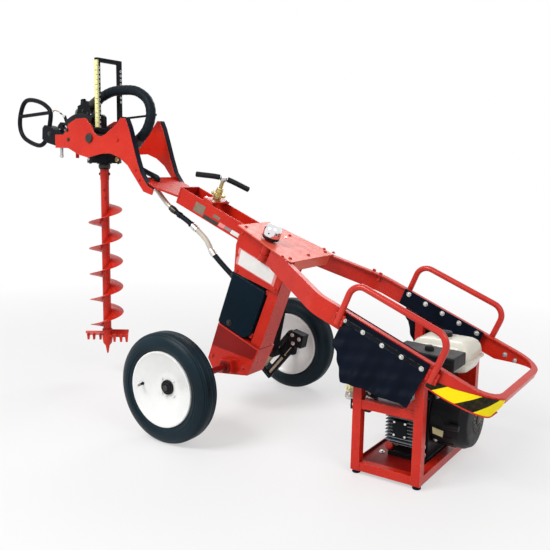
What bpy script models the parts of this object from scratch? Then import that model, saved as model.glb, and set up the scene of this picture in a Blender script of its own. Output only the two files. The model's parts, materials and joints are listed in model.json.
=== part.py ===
"""Towable post hole digger, built in metres with +X towards the auger and +Z up.

The wheels' axle is at X 0 while the model is built; the last step moves the whole machine so that
its origin is at the middle of its footprint. The boom, the rails and what hangs on them lie square
in one tilted chassis frame: its X runs up the boom, and its Z 0 is the top of the boom and rails.
"""
import math

import bmesh
import bpy
from mathutils import Matrix, Vector

for old in list(bpy.data.objects):
    bpy.data.objects.remove(old, do_unlink=True)

# General
GAP = 0.0003
ROUND = 24
WHEEL_SIDES = 40

# Wheels and axle
TYRE_RADIUS = 0.203
TYRE_WIDTH = 0.094
TREAD_FLAT = 0.026
RIM_RADIUS = 0.1385
RIM_EDGE = 0.006
RIM_HALF = 0.0429
DISH = [(0.052, 0.0030), (0.072, 0.0100), (0.100, 0.0240), (0.122, 0.0350)]
TRACK_HALF = 0.4152
HUB_RADIUS = 0.027
HUB_CAP_OUT = 0.016
HUB_CAP_WALL = 0.006
HUB_IN = 0.045
AXLE_RADIUS = 0.0125
COLLAR_RADIUS = 0.020
COLLAR_WIDTH = 0.014

# Chassis frame
FRAME_TILT = math.radians(22.44)
FRAME_X = -0.200
FRAME_Z = 0.7145

# Boom, in the chassis frame
BOOM_HALF = 0.055
BOOM_DEPTH = 0.070
BOOM_WALL = 0.005
BOOM_REAR = -0.100
BOOM_FRONT = 0.488
FLOOR_FRONT = 0.675
FLOOR_SHOULDER = 0.585
FLOOR_TOP = -0.037
FLOOR_THICK = 0.008

# Gusset plate, in the chassis frame
GUSSET_THICK = 0.005
GUSSET_FRONT = 0.142
GUSSET_FRONT_HALF = 0.104
GUSSET_WIDE = -0.100
GUSSET_REAR = -0.155
GUSSET_REAR_HALF = 0.150
GUSSET_LIP = 0.036

# Rails, in the chassis frame
RAIL_HALF = 0.260
RAIL_START_HALF = 0.111
RAIL_START = -0.035
RAIL_PARALLEL = -0.3477
RAIL_END = -1.0105
RAIL_DEPTH = 0.070
RAIL_END_DEPTH = 0.024
RAIL_WEB = 0.006
RAIL_FLANGE = 0.022
RAIL_CORNER = 0.100
RAIL_TAPER = RAIL_END + RAIL_CORNER * 1.6
RAIL_BEND = 0.120

# Head
HEAD_HALF = 0.107
HEAD_PLATE = 0.008
HEAD_FLANGE = 0.016
HEAD_FLANGE_THICK = 0.005
PIVOT_X = 0.726
PIVOT_Z = 1.098
PIVOT_RADIUS = 0.0125
HEAD_OUTLINE = [
    (0.899, 1.064), (0.893, 1.114), (0.860, 1.160), (0.810, 1.181), (0.751, 1.183), (0.716, 1.150),
    (0.703, 1.124), (0.682, 1.109), (0.655, 1.105), (0.628, 1.114), (0.604, 1.129), (0.562, 1.153),
    (0.538, 1.180), (0.507, 1.177), (0.490, 1.143), (0.466, 1.073), (0.446, 1.012), (0.424, 0.955),
    (0.385, 0.905), (0.356, 0.893), (0.365, 0.868), (0.410, 0.880), (0.449, 0.926), (0.499, 0.985),
    (0.545, 1.016), (0.599, 1.034), (0.655, 1.032), (0.742, 1.015), (0.800, 1.027), (0.859, 1.052)]
HORN_TIP = 13
STRAP_FOOT = 17
TONGUE_BACK = 0.880
TONGUE_FRONT = 0.960
TONGUE_LOW = 1.056
TONGUE_HIGH = 1.114
COUPLER_HALF = 0.028
LOOP_RADIUS = 0.0115
LOOP_BAR_RADIUS = 0.0085
HITCH_PIN_RADIUS = 0.008
PIN_LOW = 1.012
COUPLER_STEP = 1.140

# Drive that hangs in the head
DRIVE_X = 0.760
FLANGE_RADIUS = 0.075
FLANGE_LOW = 0.992
FLANGE_HIGH = 1.028
CASE_RADIUS = 0.058
CASE_TOP = 1.150
BOSS_RADIUS = 0.026
BOSS_CORE = 0.060
MOTOR_X = 0.800
MOTOR_RADIUS = 0.038
MOTOR_TOP = 1.205
BOW_X = 0.725
BOW_HALF = 0.072
BOW_BAR = 0.018
BOW_DEPTH = 0.020
ROD_RADIUS = 0.005

# Auger
COUPLING_RADIUS = 0.024
COUPLING_LENGTH = 0.026
SHAFT_RADIUS = 0.0185
FLIGHT_RADIUS = 0.076
FLIGHT_PITCH = 0.118
FLIGHT_TOP = 0.815
FLIGHT_LOW = 0.236
FLIGHT_THICK = 0.007
AUGER_TIP = 0.112
BLADE_RADIUS = 0.108

# Hoses, and the bow that holds them up
HOSE_LOOP_RADIUS = 0.021
HOSE_RISE = 0.207
BOW_ROOM = 0.096
BOW_TOP = PIVOT_Z + HOSE_RISE + HOSE_LOOP_RADIUS + BOW_ROOM + BOW_BAR
HOSE_AXIS = Vector((-0.88, 0, 0.475)).normalized()
HOSE_START = (0.804, 1.262)
HOSE_END = Vector((0.520, 0.036, 1.082))
HOSE_HOLE = (0.040, 0.640)
FITTING_LENGTH = 0.034
BOOM_HOSE_RADIUS = 0.011
HOLE_ROOM = 0.0025
CABLE_RADIUS = 0.003

# Mast and what stands on it, in the chassis frame
MAST_HALF = 0.045
CHEEK_THICK = 0.005
RESERVOIR_FRONT = 0.126
RESERVOIR_BACK = -0.045
RESERVOIR_TOP = -0.192
RESERVOIR_LOW = -0.418
PEDESTAL_HALF = 0.055
AXLE_BEAM_HALF = 0.085
AXLE_BEAM_WIDE = 0.030
AXLE_BEAM_TALL = 0.026

# Filler and clamp, in the chassis frame
NECK_RADIUS = 0.017
NECK_X = 0.004
NECK_LOW = -0.075
NECK_TOP = 0.012
CAP_RADIUS = 0.034
CAP_HEIGHT = 0.062
CLAMP_X = 0.346
CLAMP_PLATE = 0.012
CLAMP_PLATE_HALF = 0.026
NUT_RADIUS = 0.015
NUT_RIM_RADIUS = 0.027
NUT_RIM_LOW = 0.028
NUT_RIM_HIGH = 0.040
NUT_TOP = 0.054
SCREW_RADIUS = 0.008
STOP_RADIUS = 0.013
STOP_HEIGHT = 0.008
T_BAR_RADIUS = 0.011
T_BAR_REACH = 0.112
T_BAR_DROOP = 0.016
T_BAR_HEIGHT = 0.104

# Hand loops and pads, in the chassis frame
HAND_LOOP_FRONT = -0.453
HAND_LOOP_REAR = -0.806
HAND_LOOP_TOP = 0.105
HAND_LOOP_FOOT = -0.050
HAND_LOOP_CORNER = 0.045
HAND_LOOP_RADIUS = 0.0108
PAD_THICK = 0.004
PAD_FRONT = -0.468
PAD_REAR = -0.782

# Engine stand
LEG = 0.030
LEG_INSET = LEG / 2
LEG_Y = RAIL_HALF - LEG_INSET
FOOT_RADIUS = 0.011
FOOT_HEIGHT = 0.012
BAR = 0.030
BAR_LOW_Z = FOOT_HEIGHT + BAR / 2
BAR_HIGH_Z = 0.240
TRAY_THICK = 0.008
TRAY_RIM = 0.018

# Engine
BLOCK_FRONT = -0.735
BLOCK_REAR = -0.865
LEG_FRONT_ROOM = 0.057
LEG_REAR_ROOM = 0.026
LEG_FRONT_X = BLOCK_FRONT + LEG_FRONT_ROOM
LEG_REAR_X = BLOCK_REAR - LEG_REAR_ROOM
BLOCK_HALF = 0.100
BLOCK_TOP = 0.325
CRANK_Z = 0.180
RECOIL_RADIUS = 0.106
RECOIL_DEPTH = 0.130
CYLINDER_REACH = 0.090
TANK_LOW = 0.3253
TANK_TOP = 0.430
PUMP_RADIUS = 0.044
PUMP_LENGTH = 0.150
GRIP_RADIUS = 0.010
GRIP_SHARE = 0.65
LEVER_LENGTH = 0.110


def material(name, colour, roughness, metallic=0.0):
    """A plain surface with the colour, roughness and metal of one finish."""
    made = bpy.data.materials.new(name)
    made.use_nodes = True
    shader = made.node_tree.nodes["Principled BSDF"]
    shader.inputs["Base Color"].default_value = (*colour, 1.0)
    shader.inputs["Roughness"].default_value = roughness
    shader.inputs["Metallic"].default_value = metallic
    return made


RED = material("red_paint", (0.62, 0.025, 0.012), 0.35)
DARK_RED = material("dark_red_paint", (0.30, 0.012, 0.010), 0.45)
BLACK_PAINT = material("black_paint", (0.012, 0.014, 0.018), 0.4)
BLACK_PLASTIC = material("black_plastic", (0.015, 0.015, 0.017), 0.5)
RUBBER = material("black_rubber", (0.012, 0.013, 0.015), 0.75)
WHITE = material("white_paint", (0.78, 0.78, 0.76), 0.4)
CREAM = material("cream_paint", (0.75, 0.72, 0.60), 0.4)
STEEL = material("bright_steel", (0.55, 0.55, 0.56), 0.35, 1.0)
CHROME = material("chrome", (0.80, 0.80, 0.82), 0.12, 1.0)
BRASS = material("brass", (0.62, 0.45, 0.18), 0.35, 1.0)
ALUMINIUM = material("cast_aluminium", (0.60, 0.61, 0.62), 0.5, 1.0)
GREY_IRON = material("grey_green_iron", (0.14, 0.17, 0.15), 0.5, 0.3)


def empty(name, parent=None, location=(0, 0, 0), rotation=(0, 0, 0)):
    """A frame or a joint axis that other pieces are placed in."""
    made = bpy.data.objects.new(name, None)
    bpy.context.scene.collection.objects.link(made)
    made.parent = parent
    made.location = location
    made.rotation_euler = rotation
    return made


def add_object(name, mesh_data, finish, parent, location=(0, 0, 0), rotation=(0, 0, 0)):
    made = bpy.data.objects.new(name, mesh_data)
    bpy.context.scene.collection.objects.link(made)
    made.parent = parent
    made.location = location
    made.rotation_euler = rotation
    if finish:
        mesh_data.materials.append(finish)
    return made


def to_mesh(name, shape):
    """Turn one bmesh into mesh data with its faces pointing out, shaded smooth up to 35 degrees."""
    bmesh.ops.recalc_face_normals(shape, faces=shape.faces)
    data = bpy.data.meshes.new(name)
    shape.to_mesh(data)
    shape.free()
    data.shade_smooth()
    data.set_sharp_from_angle(angle=math.radians(35))
    return data


def helper(name, shape, parent, location, rotation):
    """A hidden shape that a Boolean joins to a piece or cuts from it."""
    made = add_object(name, to_mesh(name, shape), None, parent, location, rotation)
    made.hide_render = True
    made.display_type = "WIRE"
    return made


def piece(name, finish, parent, shapes, cuts=(), location=(0, 0, 0), rotation=(0, 0, 0)):
    """One sub-part: its first shape, joined with the others, with the cuts taken out."""
    made = add_object(name, to_mesh(name, shapes[0]), finish, parent, location, rotation)
    for operation, group in (("UNION", shapes[1:]), ("DIFFERENCE", cuts)):
        for number, shape in enumerate(group):
            other = helper(f"{name}_{operation.lower()}_{number}", shape, parent, location, rotation)
            boolean = made.modifiers.new(other.name, "BOOLEAN")
            boolean.operation = operation
            boolean.solver = "EXACT"
            boolean.object = other
    return made


def placed(axis, across, along):
    """A 3-D point from a 2-D outline point and a place along the axis that it is extruded on."""
    first, second = across
    return {"X": (along, first, second), "Y": (first, along, second), "Z": (first, second, along)}[axis]


def prism(outline, axis, low, high):
    """An outline extruded along one axis from low to high."""
    shape = bmesh.new()
    ends = [[shape.verts.new(placed(axis, point, along)) for point in outline] for along in (low, high)]
    shape.faces.new(ends[0])
    shape.faces.new(ends[1])
    count = len(outline)
    for index in range(count):
        after = (index + 1) % count
        shape.faces.new((ends[0][index], ends[0][after], ends[1][after], ends[1][index]))
    return shape


def box(x_range, y_range, z_range):
    (x0, x1), (y0, y1), (z0, z1) = x_range, y_range, z_range
    return prism([(x0, y0), (x1, y0), (x1, y1), (x0, y1)], "Z", z0, z1)


def around(centre, half):
    return (centre - half, centre + half)


def soft_box(x_range, y_range, z_range, bevel, segments=2):
    """A box with rounded edges."""
    shape = box(x_range, y_range, z_range)
    bmesh.ops.bevel(shape, geom=list(shape.edges), offset=bevel, segments=segments,
                    affect="EDGES", profile=0.5)
    return shape


def basis_for(axis):
    """A matrix whose Z column is the axis."""
    forward = Vector(axis).normalized()
    side = Vector((0, 1, 0)) if abs(forward.y) < 0.9 else Vector((1, 0, 0))
    across = side.cross(forward).normalized()
    return Matrix((across, forward.cross(across), forward)).transposed()


def lathe(profile, axis="Z", centre=(0, 0, 0), segments=ROUND):
    """A turned solid from (radius, height) points; a radius of 0 closes it on the axis."""
    direction = {"X": (1, 0, 0), "Y": (0, 1, 0), "Z": (0, 0, 1)}[axis] if isinstance(axis, str) else axis
    turn = basis_for(direction)
    shape = bmesh.new()
    rings = []
    for radius, height in profile:
        steps = 1 if radius == 0 else segments
        ring = []
        for step in range(steps):
            angle = math.tau * step / segments
            local = Vector((radius * math.cos(angle), radius * math.sin(angle), height))
            ring.append(shape.verts.new(Vector(centre) + turn @ local))
        rings.append(ring)
    closed = len(rings[0]) > 1
    pairs = list(zip(rings, rings[1:] + rings[:1] if closed else rings[1:]))
    for ring, after in pairs:
        for step in range(segments):
            following = (step + 1) % segments
            corners = [ring[step % len(ring)], ring[following % len(ring)],
                       after[following % len(after)], after[step % len(after)]]
            unique = list(dict.fromkeys(corners))
            if len(unique) > 2:
                shape.faces.new(unique)
    return shape


def rod(start, end, radius, segments=ROUND):
    """A plain cylinder between two points."""
    span = Vector(end) - Vector(start)
    return lathe([(0, 0), (radius, 0), (radius, span.length), (0, span.length)], span, start, segments)


def sweep(path, section, up, closed=False):
    """Carry a section along a path; section(index) gives (side, up) offsets, up is a fixed vector."""
    shape = bmesh.new()
    up = Vector(up)
    count = len(path)
    rings = []
    for index in range(count):
        before = path[index - 1] if index or closed else path[index]
        after = path[(index + 1) % count] if index < count - 1 or closed else path[index]
        here = path[index]
        into = (here - before).normalized() if (here - before).length else (after - here).normalized()
        out = (after - here).normalized() if (after - here).length else into
        tangent = (into + out).normalized()
        side = tangent.cross(up).normalized()
        stretch = 1 / max(0.5, tangent.dot(out))
        rise = side.cross(tangent)
        rings.append([shape.verts.new(here + side * (a * stretch) + rise * b) for a, b in section(index)])
    size = len(rings[0])
    for index in range(count if closed else count - 1):
        ring, after = rings[index], rings[(index + 1) % count]
        for corner in range(size):
            following = (corner + 1) % size
            shape.faces.new((ring[corner], ring[following], after[following], after[corner]))
    if not closed:
        shape.faces.new(rings[0])
        shape.faces.new(rings[-1])
    return shape


def circle_section(radius, sides=12):
    points = [(radius * math.cos(math.tau * s / sides), radius * math.sin(math.tau * s / sides))
              for s in range(sides)]
    return lambda index: points


def rounded(points, radii, steps=5):
    """A path of straight runs with an arc at each inner point."""
    points = [Vector(point) for point in points]
    path = [points[0]]
    for before, here, after, radius in zip(points, points[1:], points[2:], radii):
        into = (before - here).normalized()
        out = (after - here).normalized()
        half = into.angle(out) / 2
        back = radius / math.tan(half)
        centre = here + (into + out).normalized() * (radius / math.sin(half))
        first = (here + into * back - centre).normalized()
        last = (here + out * back - centre).normalized()
        for step in range(steps + 1):
            path.append(centre + first.slerp(last, step / steps) * radius)
    path.append(points[-1])
    return path


def smooth_path(points, spacing, closed=False):
    """Evenly spaced points on a smooth curve through the given points."""
    points = [Vector(point) for point in points]
    count = len(points)
    dense = []
    spans = count if closed else count - 1
    for index in range(spans):
        here, after = points[index], points[(index + 1) % count]
        before = points[index - 1] if index or closed else here * 2 - after
        beyond = points[(index + 2) % count] if index < spans - 1 or closed else after * 2 - here
        for step in range(20):
            t = step / 20
            dense.append(0.5 * (2 * here + (after - before) * t
                                + (2 * before - 5 * here + 4 * after - beyond) * t * t
                                + (3 * here - before - 3 * after + beyond) * t * t * t))
    dense.append(points[0] if closed else points[-1])
    lengths = [0.0]
    for here, after in zip(dense, dense[1:]):
        lengths.append(lengths[-1] + (after - here).length)
    steps = max(2, round(lengths[-1] / spacing))
    path = []
    place = 0
    for step in range(steps + (0 if closed else 1)):
        target = lengths[-1] * step / steps
        while place < len(lengths) - 2 and lengths[place + 1] < target:
            place += 1
        span = lengths[place + 1] - lengths[place]
        share = min(1.0, (target - lengths[place]) / span) if span else 0.0
        path.append(dense[place].lerp(dense[place + 1], share))
    return path


def hose_path(start, leaving, route, end, arriving, run, spacing):
    """A smooth route whose first and last runs are straight, square to what they meet."""
    start, end = Vector(start), Vector(end)
    first = start + leaving * run
    last = end - arriving * run
    inner = [first, first + leaving * run, *route, last - arriving * run, last]
    return [start, *smooth_path(inner, spacing), end]


def tube(name, finish, parent, path, radius, resolution=2):
    """A round tube or hose as a curve with filled ends."""
    data = bpy.data.curves.new(name, "CURVE")
    data.dimensions = "3D"
    data.bevel_depth = radius
    data.bevel_resolution = resolution
    data.use_fill_caps = True
    spline = data.splines.new("POLY")
    spline.points.add(len(path) - 1)
    for point, place in zip(spline.points, path):
        point.co = (*place, 1.0)
    spline.use_smooth = True
    return add_object(name, data, finish, parent)


ROOT = empty("machine")
FRAME = empty("chassis_frame", ROOT, (FRAME_X, 0, FRAME_Z), (0, -FRAME_TILT, 0))


def from_frame(along, across, up):
    """A machine point from a chassis frame point."""
    x = FRAME_X + along * math.cos(FRAME_TILT) - up * math.sin(FRAME_TILT)
    z = FRAME_Z + along * math.sin(FRAME_TILT) + up * math.cos(FRAME_TILT)
    return Vector((x, across, z))


def to_frame(x, z):
    """Chassis frame (along, up) of a machine point."""
    dx, dz = x - FRAME_X, z - FRAME_Z
    return (dx * math.cos(FRAME_TILT) + dz * math.sin(FRAME_TILT),
            dz * math.cos(FRAME_TILT) - dx * math.sin(FRAME_TILT))


def wheels():
    for name, side in (("left", 1), ("right", -1)):
        axis = empty(f"wheel_axis_{name}", ROOT, (0, side * TRACK_HALF, TYRE_RADIUS))
        bead = RIM_RADIUS + GAP
        half = TYRE_WIDTH / 2
        flat = TREAD_FLAT / 2
        profile = [(bead, half * 0.76)]
        arc = 6
        for step in range(arc + 1):
            angle = math.radians(78) * (1 - step / arc)
            height = flat + (half - flat) * math.sin(angle)
            profile.append((bead + (TYRE_RADIUS - bead) * math.cos(angle) ** 0.6, height))
        profile += [(radius, -height) for radius, height in reversed(profile)]
        piece(f"tyre_{name}", RUBBER, axis, [lathe(profile, "Y", segments=WHEEL_SIDES)])

        eye = HUB_RADIUS + GAP
        half_rim = [(eye, DISH[0][1])] + DISH + [(RIM_RADIUS - RIM_EDGE, RIM_HALF), (RIM_RADIUS, RIM_HALF)]
        profile = half_rim + [(radius, -height) for radius, height in reversed(half_rim)]
        piece(f"rim_{name}", WHITE, axis, [lathe(profile, "Y", segments=WHEEL_SIDES)])

        bore = AXLE_RADIUS + GAP
        bottom = side * (HUB_CAP_OUT - HUB_CAP_WALL)
        piece(f"hub_{name}", BLACK_PAINT, axis, [lathe([
            (0, bottom), (bore, bottom), (bore, -side * HUB_IN), (HUB_RADIUS, -side * HUB_IN),
            (HUB_RADIUS, bottom), (HUB_RADIUS * 0.8, side * HUB_CAP_OUT), (0, side * HUB_CAP_OUT)],
            "Y")])


def axle():
    end = TRACK_HALF + HUB_CAP_OUT - HUB_CAP_WALL - GAP
    outer = TRACK_HALF - HUB_IN - GAP
    inner = outer - COLLAR_WIDTH
    half = [(AXLE_RADIUS, inner), (COLLAR_RADIUS, inner), (COLLAR_RADIUS, outer),
            (AXLE_RADIUS, outer), (AXLE_RADIUS, end), (0, end)]
    profile = [(radius, -height) for radius, height in reversed(half)] + half
    piece("axle", STEEL, ROOT, [lathe(profile, "Y", (0, 0, TYRE_RADIUS))])


def boom():
    half, wall = BOOM_HALF, BOOM_WALL
    channel = [(-half, -BOOM_DEPTH), (half, -BOOM_DEPTH), (half, 0), (half - wall, 0),
               (half - wall, wall - BOOM_DEPTH), (wall - half, wall - BOOM_DEPTH), (wall - half, 0),
               (-half, 0)]
    piece("boom_channel", RED, FRAME, [prism(channel, "X", BOOM_REAR, BOOM_FRONT)])

    edge = HEAD_HALF - GAP
    back = BOOM_FRONT + GAP
    floor = [(back, -half), (FLOOR_SHOULDER, -edge), (FLOOR_FRONT, -edge), (FLOOR_FRONT, edge),
             (FLOOR_SHOULDER, edge), (back, half)]
    closing = box((back, back + 0.008), around(0, half), (-BOOM_DEPTH, 0))
    across, along = HOSE_HOLE
    hole = rod((along, across, FLOOR_TOP - 0.05), (along, across, FLOOR_TOP + 0.05),
               BOOM_HOSE_RADIUS + HOLE_ROOM, 16)
    piece("boom_front_plate", DARK_RED, FRAME,
          [prism(floor, "Z", FLOOR_TOP - FLOOR_THICK, FLOOR_TOP), closing], [hole])


def gusset():
    front, wide, rear = GUSSET_FRONT, GUSSET_WIDE, GUSSET_REAR
    outline = [(front, -GUSSET_FRONT_HALF), (front, GUSSET_FRONT_HALF), (wide, GUSSET_REAR_HALF),
               (rear, GUSSET_REAR_HALF), (rear, -GUSSET_REAR_HALF), (wide, -GUSSET_REAR_HALF)]
    plate = prism(outline, "Z", GAP, GAP + GUSSET_THICK)
    lip_half = GUSSET_REAR_HALF - 0.024
    lip = box((rear, rear + GUSSET_THICK), around(0, lip_half), (-GUSSET_LIP, GAP + GUSSET_THICK / 2))
    neck_y = BOOM_HALF + GAP + CHEEK_THICK + GAP + NECK_RADIUS
    hole = rod((NECK_X, neck_y, -0.03), (NECK_X, neck_y, 0.03), NECK_RADIUS + 0.001, 20)
    piece("gusset_plate", RED, FRAME, [plate, lip], [hole])


def rails():
    corners = [(RAIL_START, RAIL_START_HALF, 0), (RAIL_PARALLEL, RAIL_HALF, 0),
               (RAIL_END, RAIL_HALF, 0), (RAIL_END, -RAIL_HALF, 0),
               (RAIL_PARALLEL, -RAIL_HALF, 0), (RAIL_START, -RAIL_START_HALF, 0)]
    path = rounded(corners, [RAIL_BEND, RAIL_CORNER, RAIL_CORNER, RAIL_BEND], 6)
    first = next(index for index, point in enumerate(path) if point.x < RAIL_TAPER)
    path.insert(first, Vector((RAIL_TAPER, RAIL_HALF, 0)))
    last = next(index for index, point in enumerate(path) if index > first and point.x > RAIL_TAPER)
    path.insert(last, Vector((RAIL_TAPER, -RAIL_HALF, 0)))

    def section(index):
        """An L: the web outside and the flange turned in, shallower round the back."""
        beyond = (RAIL_TAPER - path[index].x) / (RAIL_CORNER * 1.3)
        share = min(1.0, max(0.0, beyond))
        depth = RAIL_DEPTH + (RAIL_END_DEPTH - RAIL_DEPTH) * share
        return [(0, 0), (0, -depth), (-RAIL_WEB, -depth), (-RAIL_WEB, -RAIL_WEB),
                (-RAIL_FLANGE, -RAIL_WEB), (-RAIL_FLANGE, 0)]

    piece("rail_frame", RED, FRAME, [sweep(path, section, (0, 0, 1))])


def head():
    rear_edge = HEAD_OUTLINE[HORN_TIP:STRAP_FOOT + 1]
    inset = [(x + HEAD_FLANGE_THICK, z - 0.002) for x, z in rear_edge]
    flange_outline = rear_edge + inset[::-1]
    for name, side in (("left", 1), ("right", -1)):
        low, high = sorted((side * HEAD_HALF, side * (HEAD_HALF + HEAD_PLATE)))
        plate = prism(HEAD_OUTLINE, "Y", low, high)
        ends = sorted((side * (HEAD_HALF - HEAD_FLANGE), side * (HEAD_HALF + HEAD_PLATE / 2)))
        flange = prism(flange_outline, "Y", *ends)
        hole = rod((PIVOT_X, side * (HEAD_HALF - 0.02), PIVOT_Z),
                   (PIVOT_X, side * (HEAD_HALF + 0.02), PIVOT_Z), PIVOT_RADIUS + GAP)
        piece(f"head_plate_{name}", RED, ROOT, [plate, flange], [hole])

    outside = HEAD_HALF + HEAD_PLATE + GAP
    for name, side in (("left", 1), ("right", -1)):
        profile = [(0, BOSS_CORE + GAP), (PIVOT_RADIUS, BOSS_CORE + GAP), (PIVOT_RADIUS, outside),
                   (PIVOT_RADIUS * 1.6, outside), (PIVOT_RADIUS * 1.6, outside + 0.006),
                   (0, outside + 0.006)]
        turned = [(radius, side * height) for radius, height in profile]
        piece(f"trunnion_pin_{name}", STEEL, ROOT, [lathe(turned, "Y", (PIVOT_X, 0, PIVOT_Z))])

    tongue = box((TONGUE_BACK, TONGUE_FRONT), around(0, HEAD_HALF - GAP), (TONGUE_LOW, TONGUE_HIGH))
    rear_pin = TONGUE_FRONT - 0.022
    front_pin = TONGUE_FRONT + 0.086
    peg = rod((rear_pin, 0, PIN_LOW), (rear_pin, 0, TONGUE_HIGH + 0.006), HITCH_PIN_RADIUS, 16)
    piece("head_tongue", RED, ROOT, [tongue, peg])

    back = TONGUE_FRONT + GAP
    block = prism([(back, 1.060), (back, 1.112), (1.020, 1.128), (1.030, COUPLER_STEP), (1.062, COUPLER_STEP),
                   (1.078, 1.152), (1.130, 1.163), (1.146, 1.150), (1.150, 1.098), (1.122, 1.082),
                   (1.040, 1.064)], "Y", -COUPLER_HALF, COUPLER_HALF)
    seat = sweep(loop_path(), circle_section(LOOP_RADIUS + GAP), (0, 1, 0), closed=True)
    piece("hitch_coupler", BLACK_PAINT, ROOT, [block],
          [seat, rod((front_pin, 0, 1.0), (front_pin, 0, 1.2), HITCH_PIN_RADIUS + GAP)])

    top = COUPLER_STEP + GAP
    piece("hitch_pin", STEEL, ROOT, [lathe([
        (0, PIN_LOW), (HITCH_PIN_RADIUS * 0.7, PIN_LOW), (HITCH_PIN_RADIUS, PIN_LOW + 0.004),
        (HITCH_PIN_RADIUS, top), (HITCH_PIN_RADIUS * 1.5, top), (HITCH_PIN_RADIUS * 1.5, top + 0.006),
        (0, top + 0.006)], "Z", (front_pin, 0, 0), 16)])


def loop_path():
    """The D-shaped guide handle's centre line."""
    points = [(1.259, 1.284), (1.200, 1.274), (1.151, 1.254), (1.119, 1.224), (1.125, 1.172),
              (1.144, 1.118), (1.171, 1.081), (1.210, 1.069), (1.270, 1.083), (1.321, 1.108),
              (1.346, 1.147), (1.347, 1.197), (1.326, 1.251), (1.299, 1.278)]
    return smooth_path([(x, 0, z) for x, z in points], 0.022, closed=True)


def guide_handle():
    ring = sweep(loop_path(), circle_section(LOOP_RADIUS), (0, 1, 0), closed=True)
    bar = rod((1.121, 0.0, 1.222), (1.344, 0.0, 1.207), LOOP_BAR_RADIUS, 11)
    piece("guide_handle", BLACK_PAINT, ROOT, [ring, bar])
    start = Vector((1.121, 0, 1.224)) + Vector((-1, 0, 0.05)).normalized() * (LOOP_RADIUS + CABLE_RADIUS)
    route = [start, (1.085, 0.002, 1.231), (1.050, 0.010, 1.224), (1.010, 0.022, 1.209),
             (0.985, 0.030, 1.200)]
    tube("handle_cable", RUBBER, ROOT, smooth_path(route, 0.012), CABLE_RADIUS)


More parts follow.
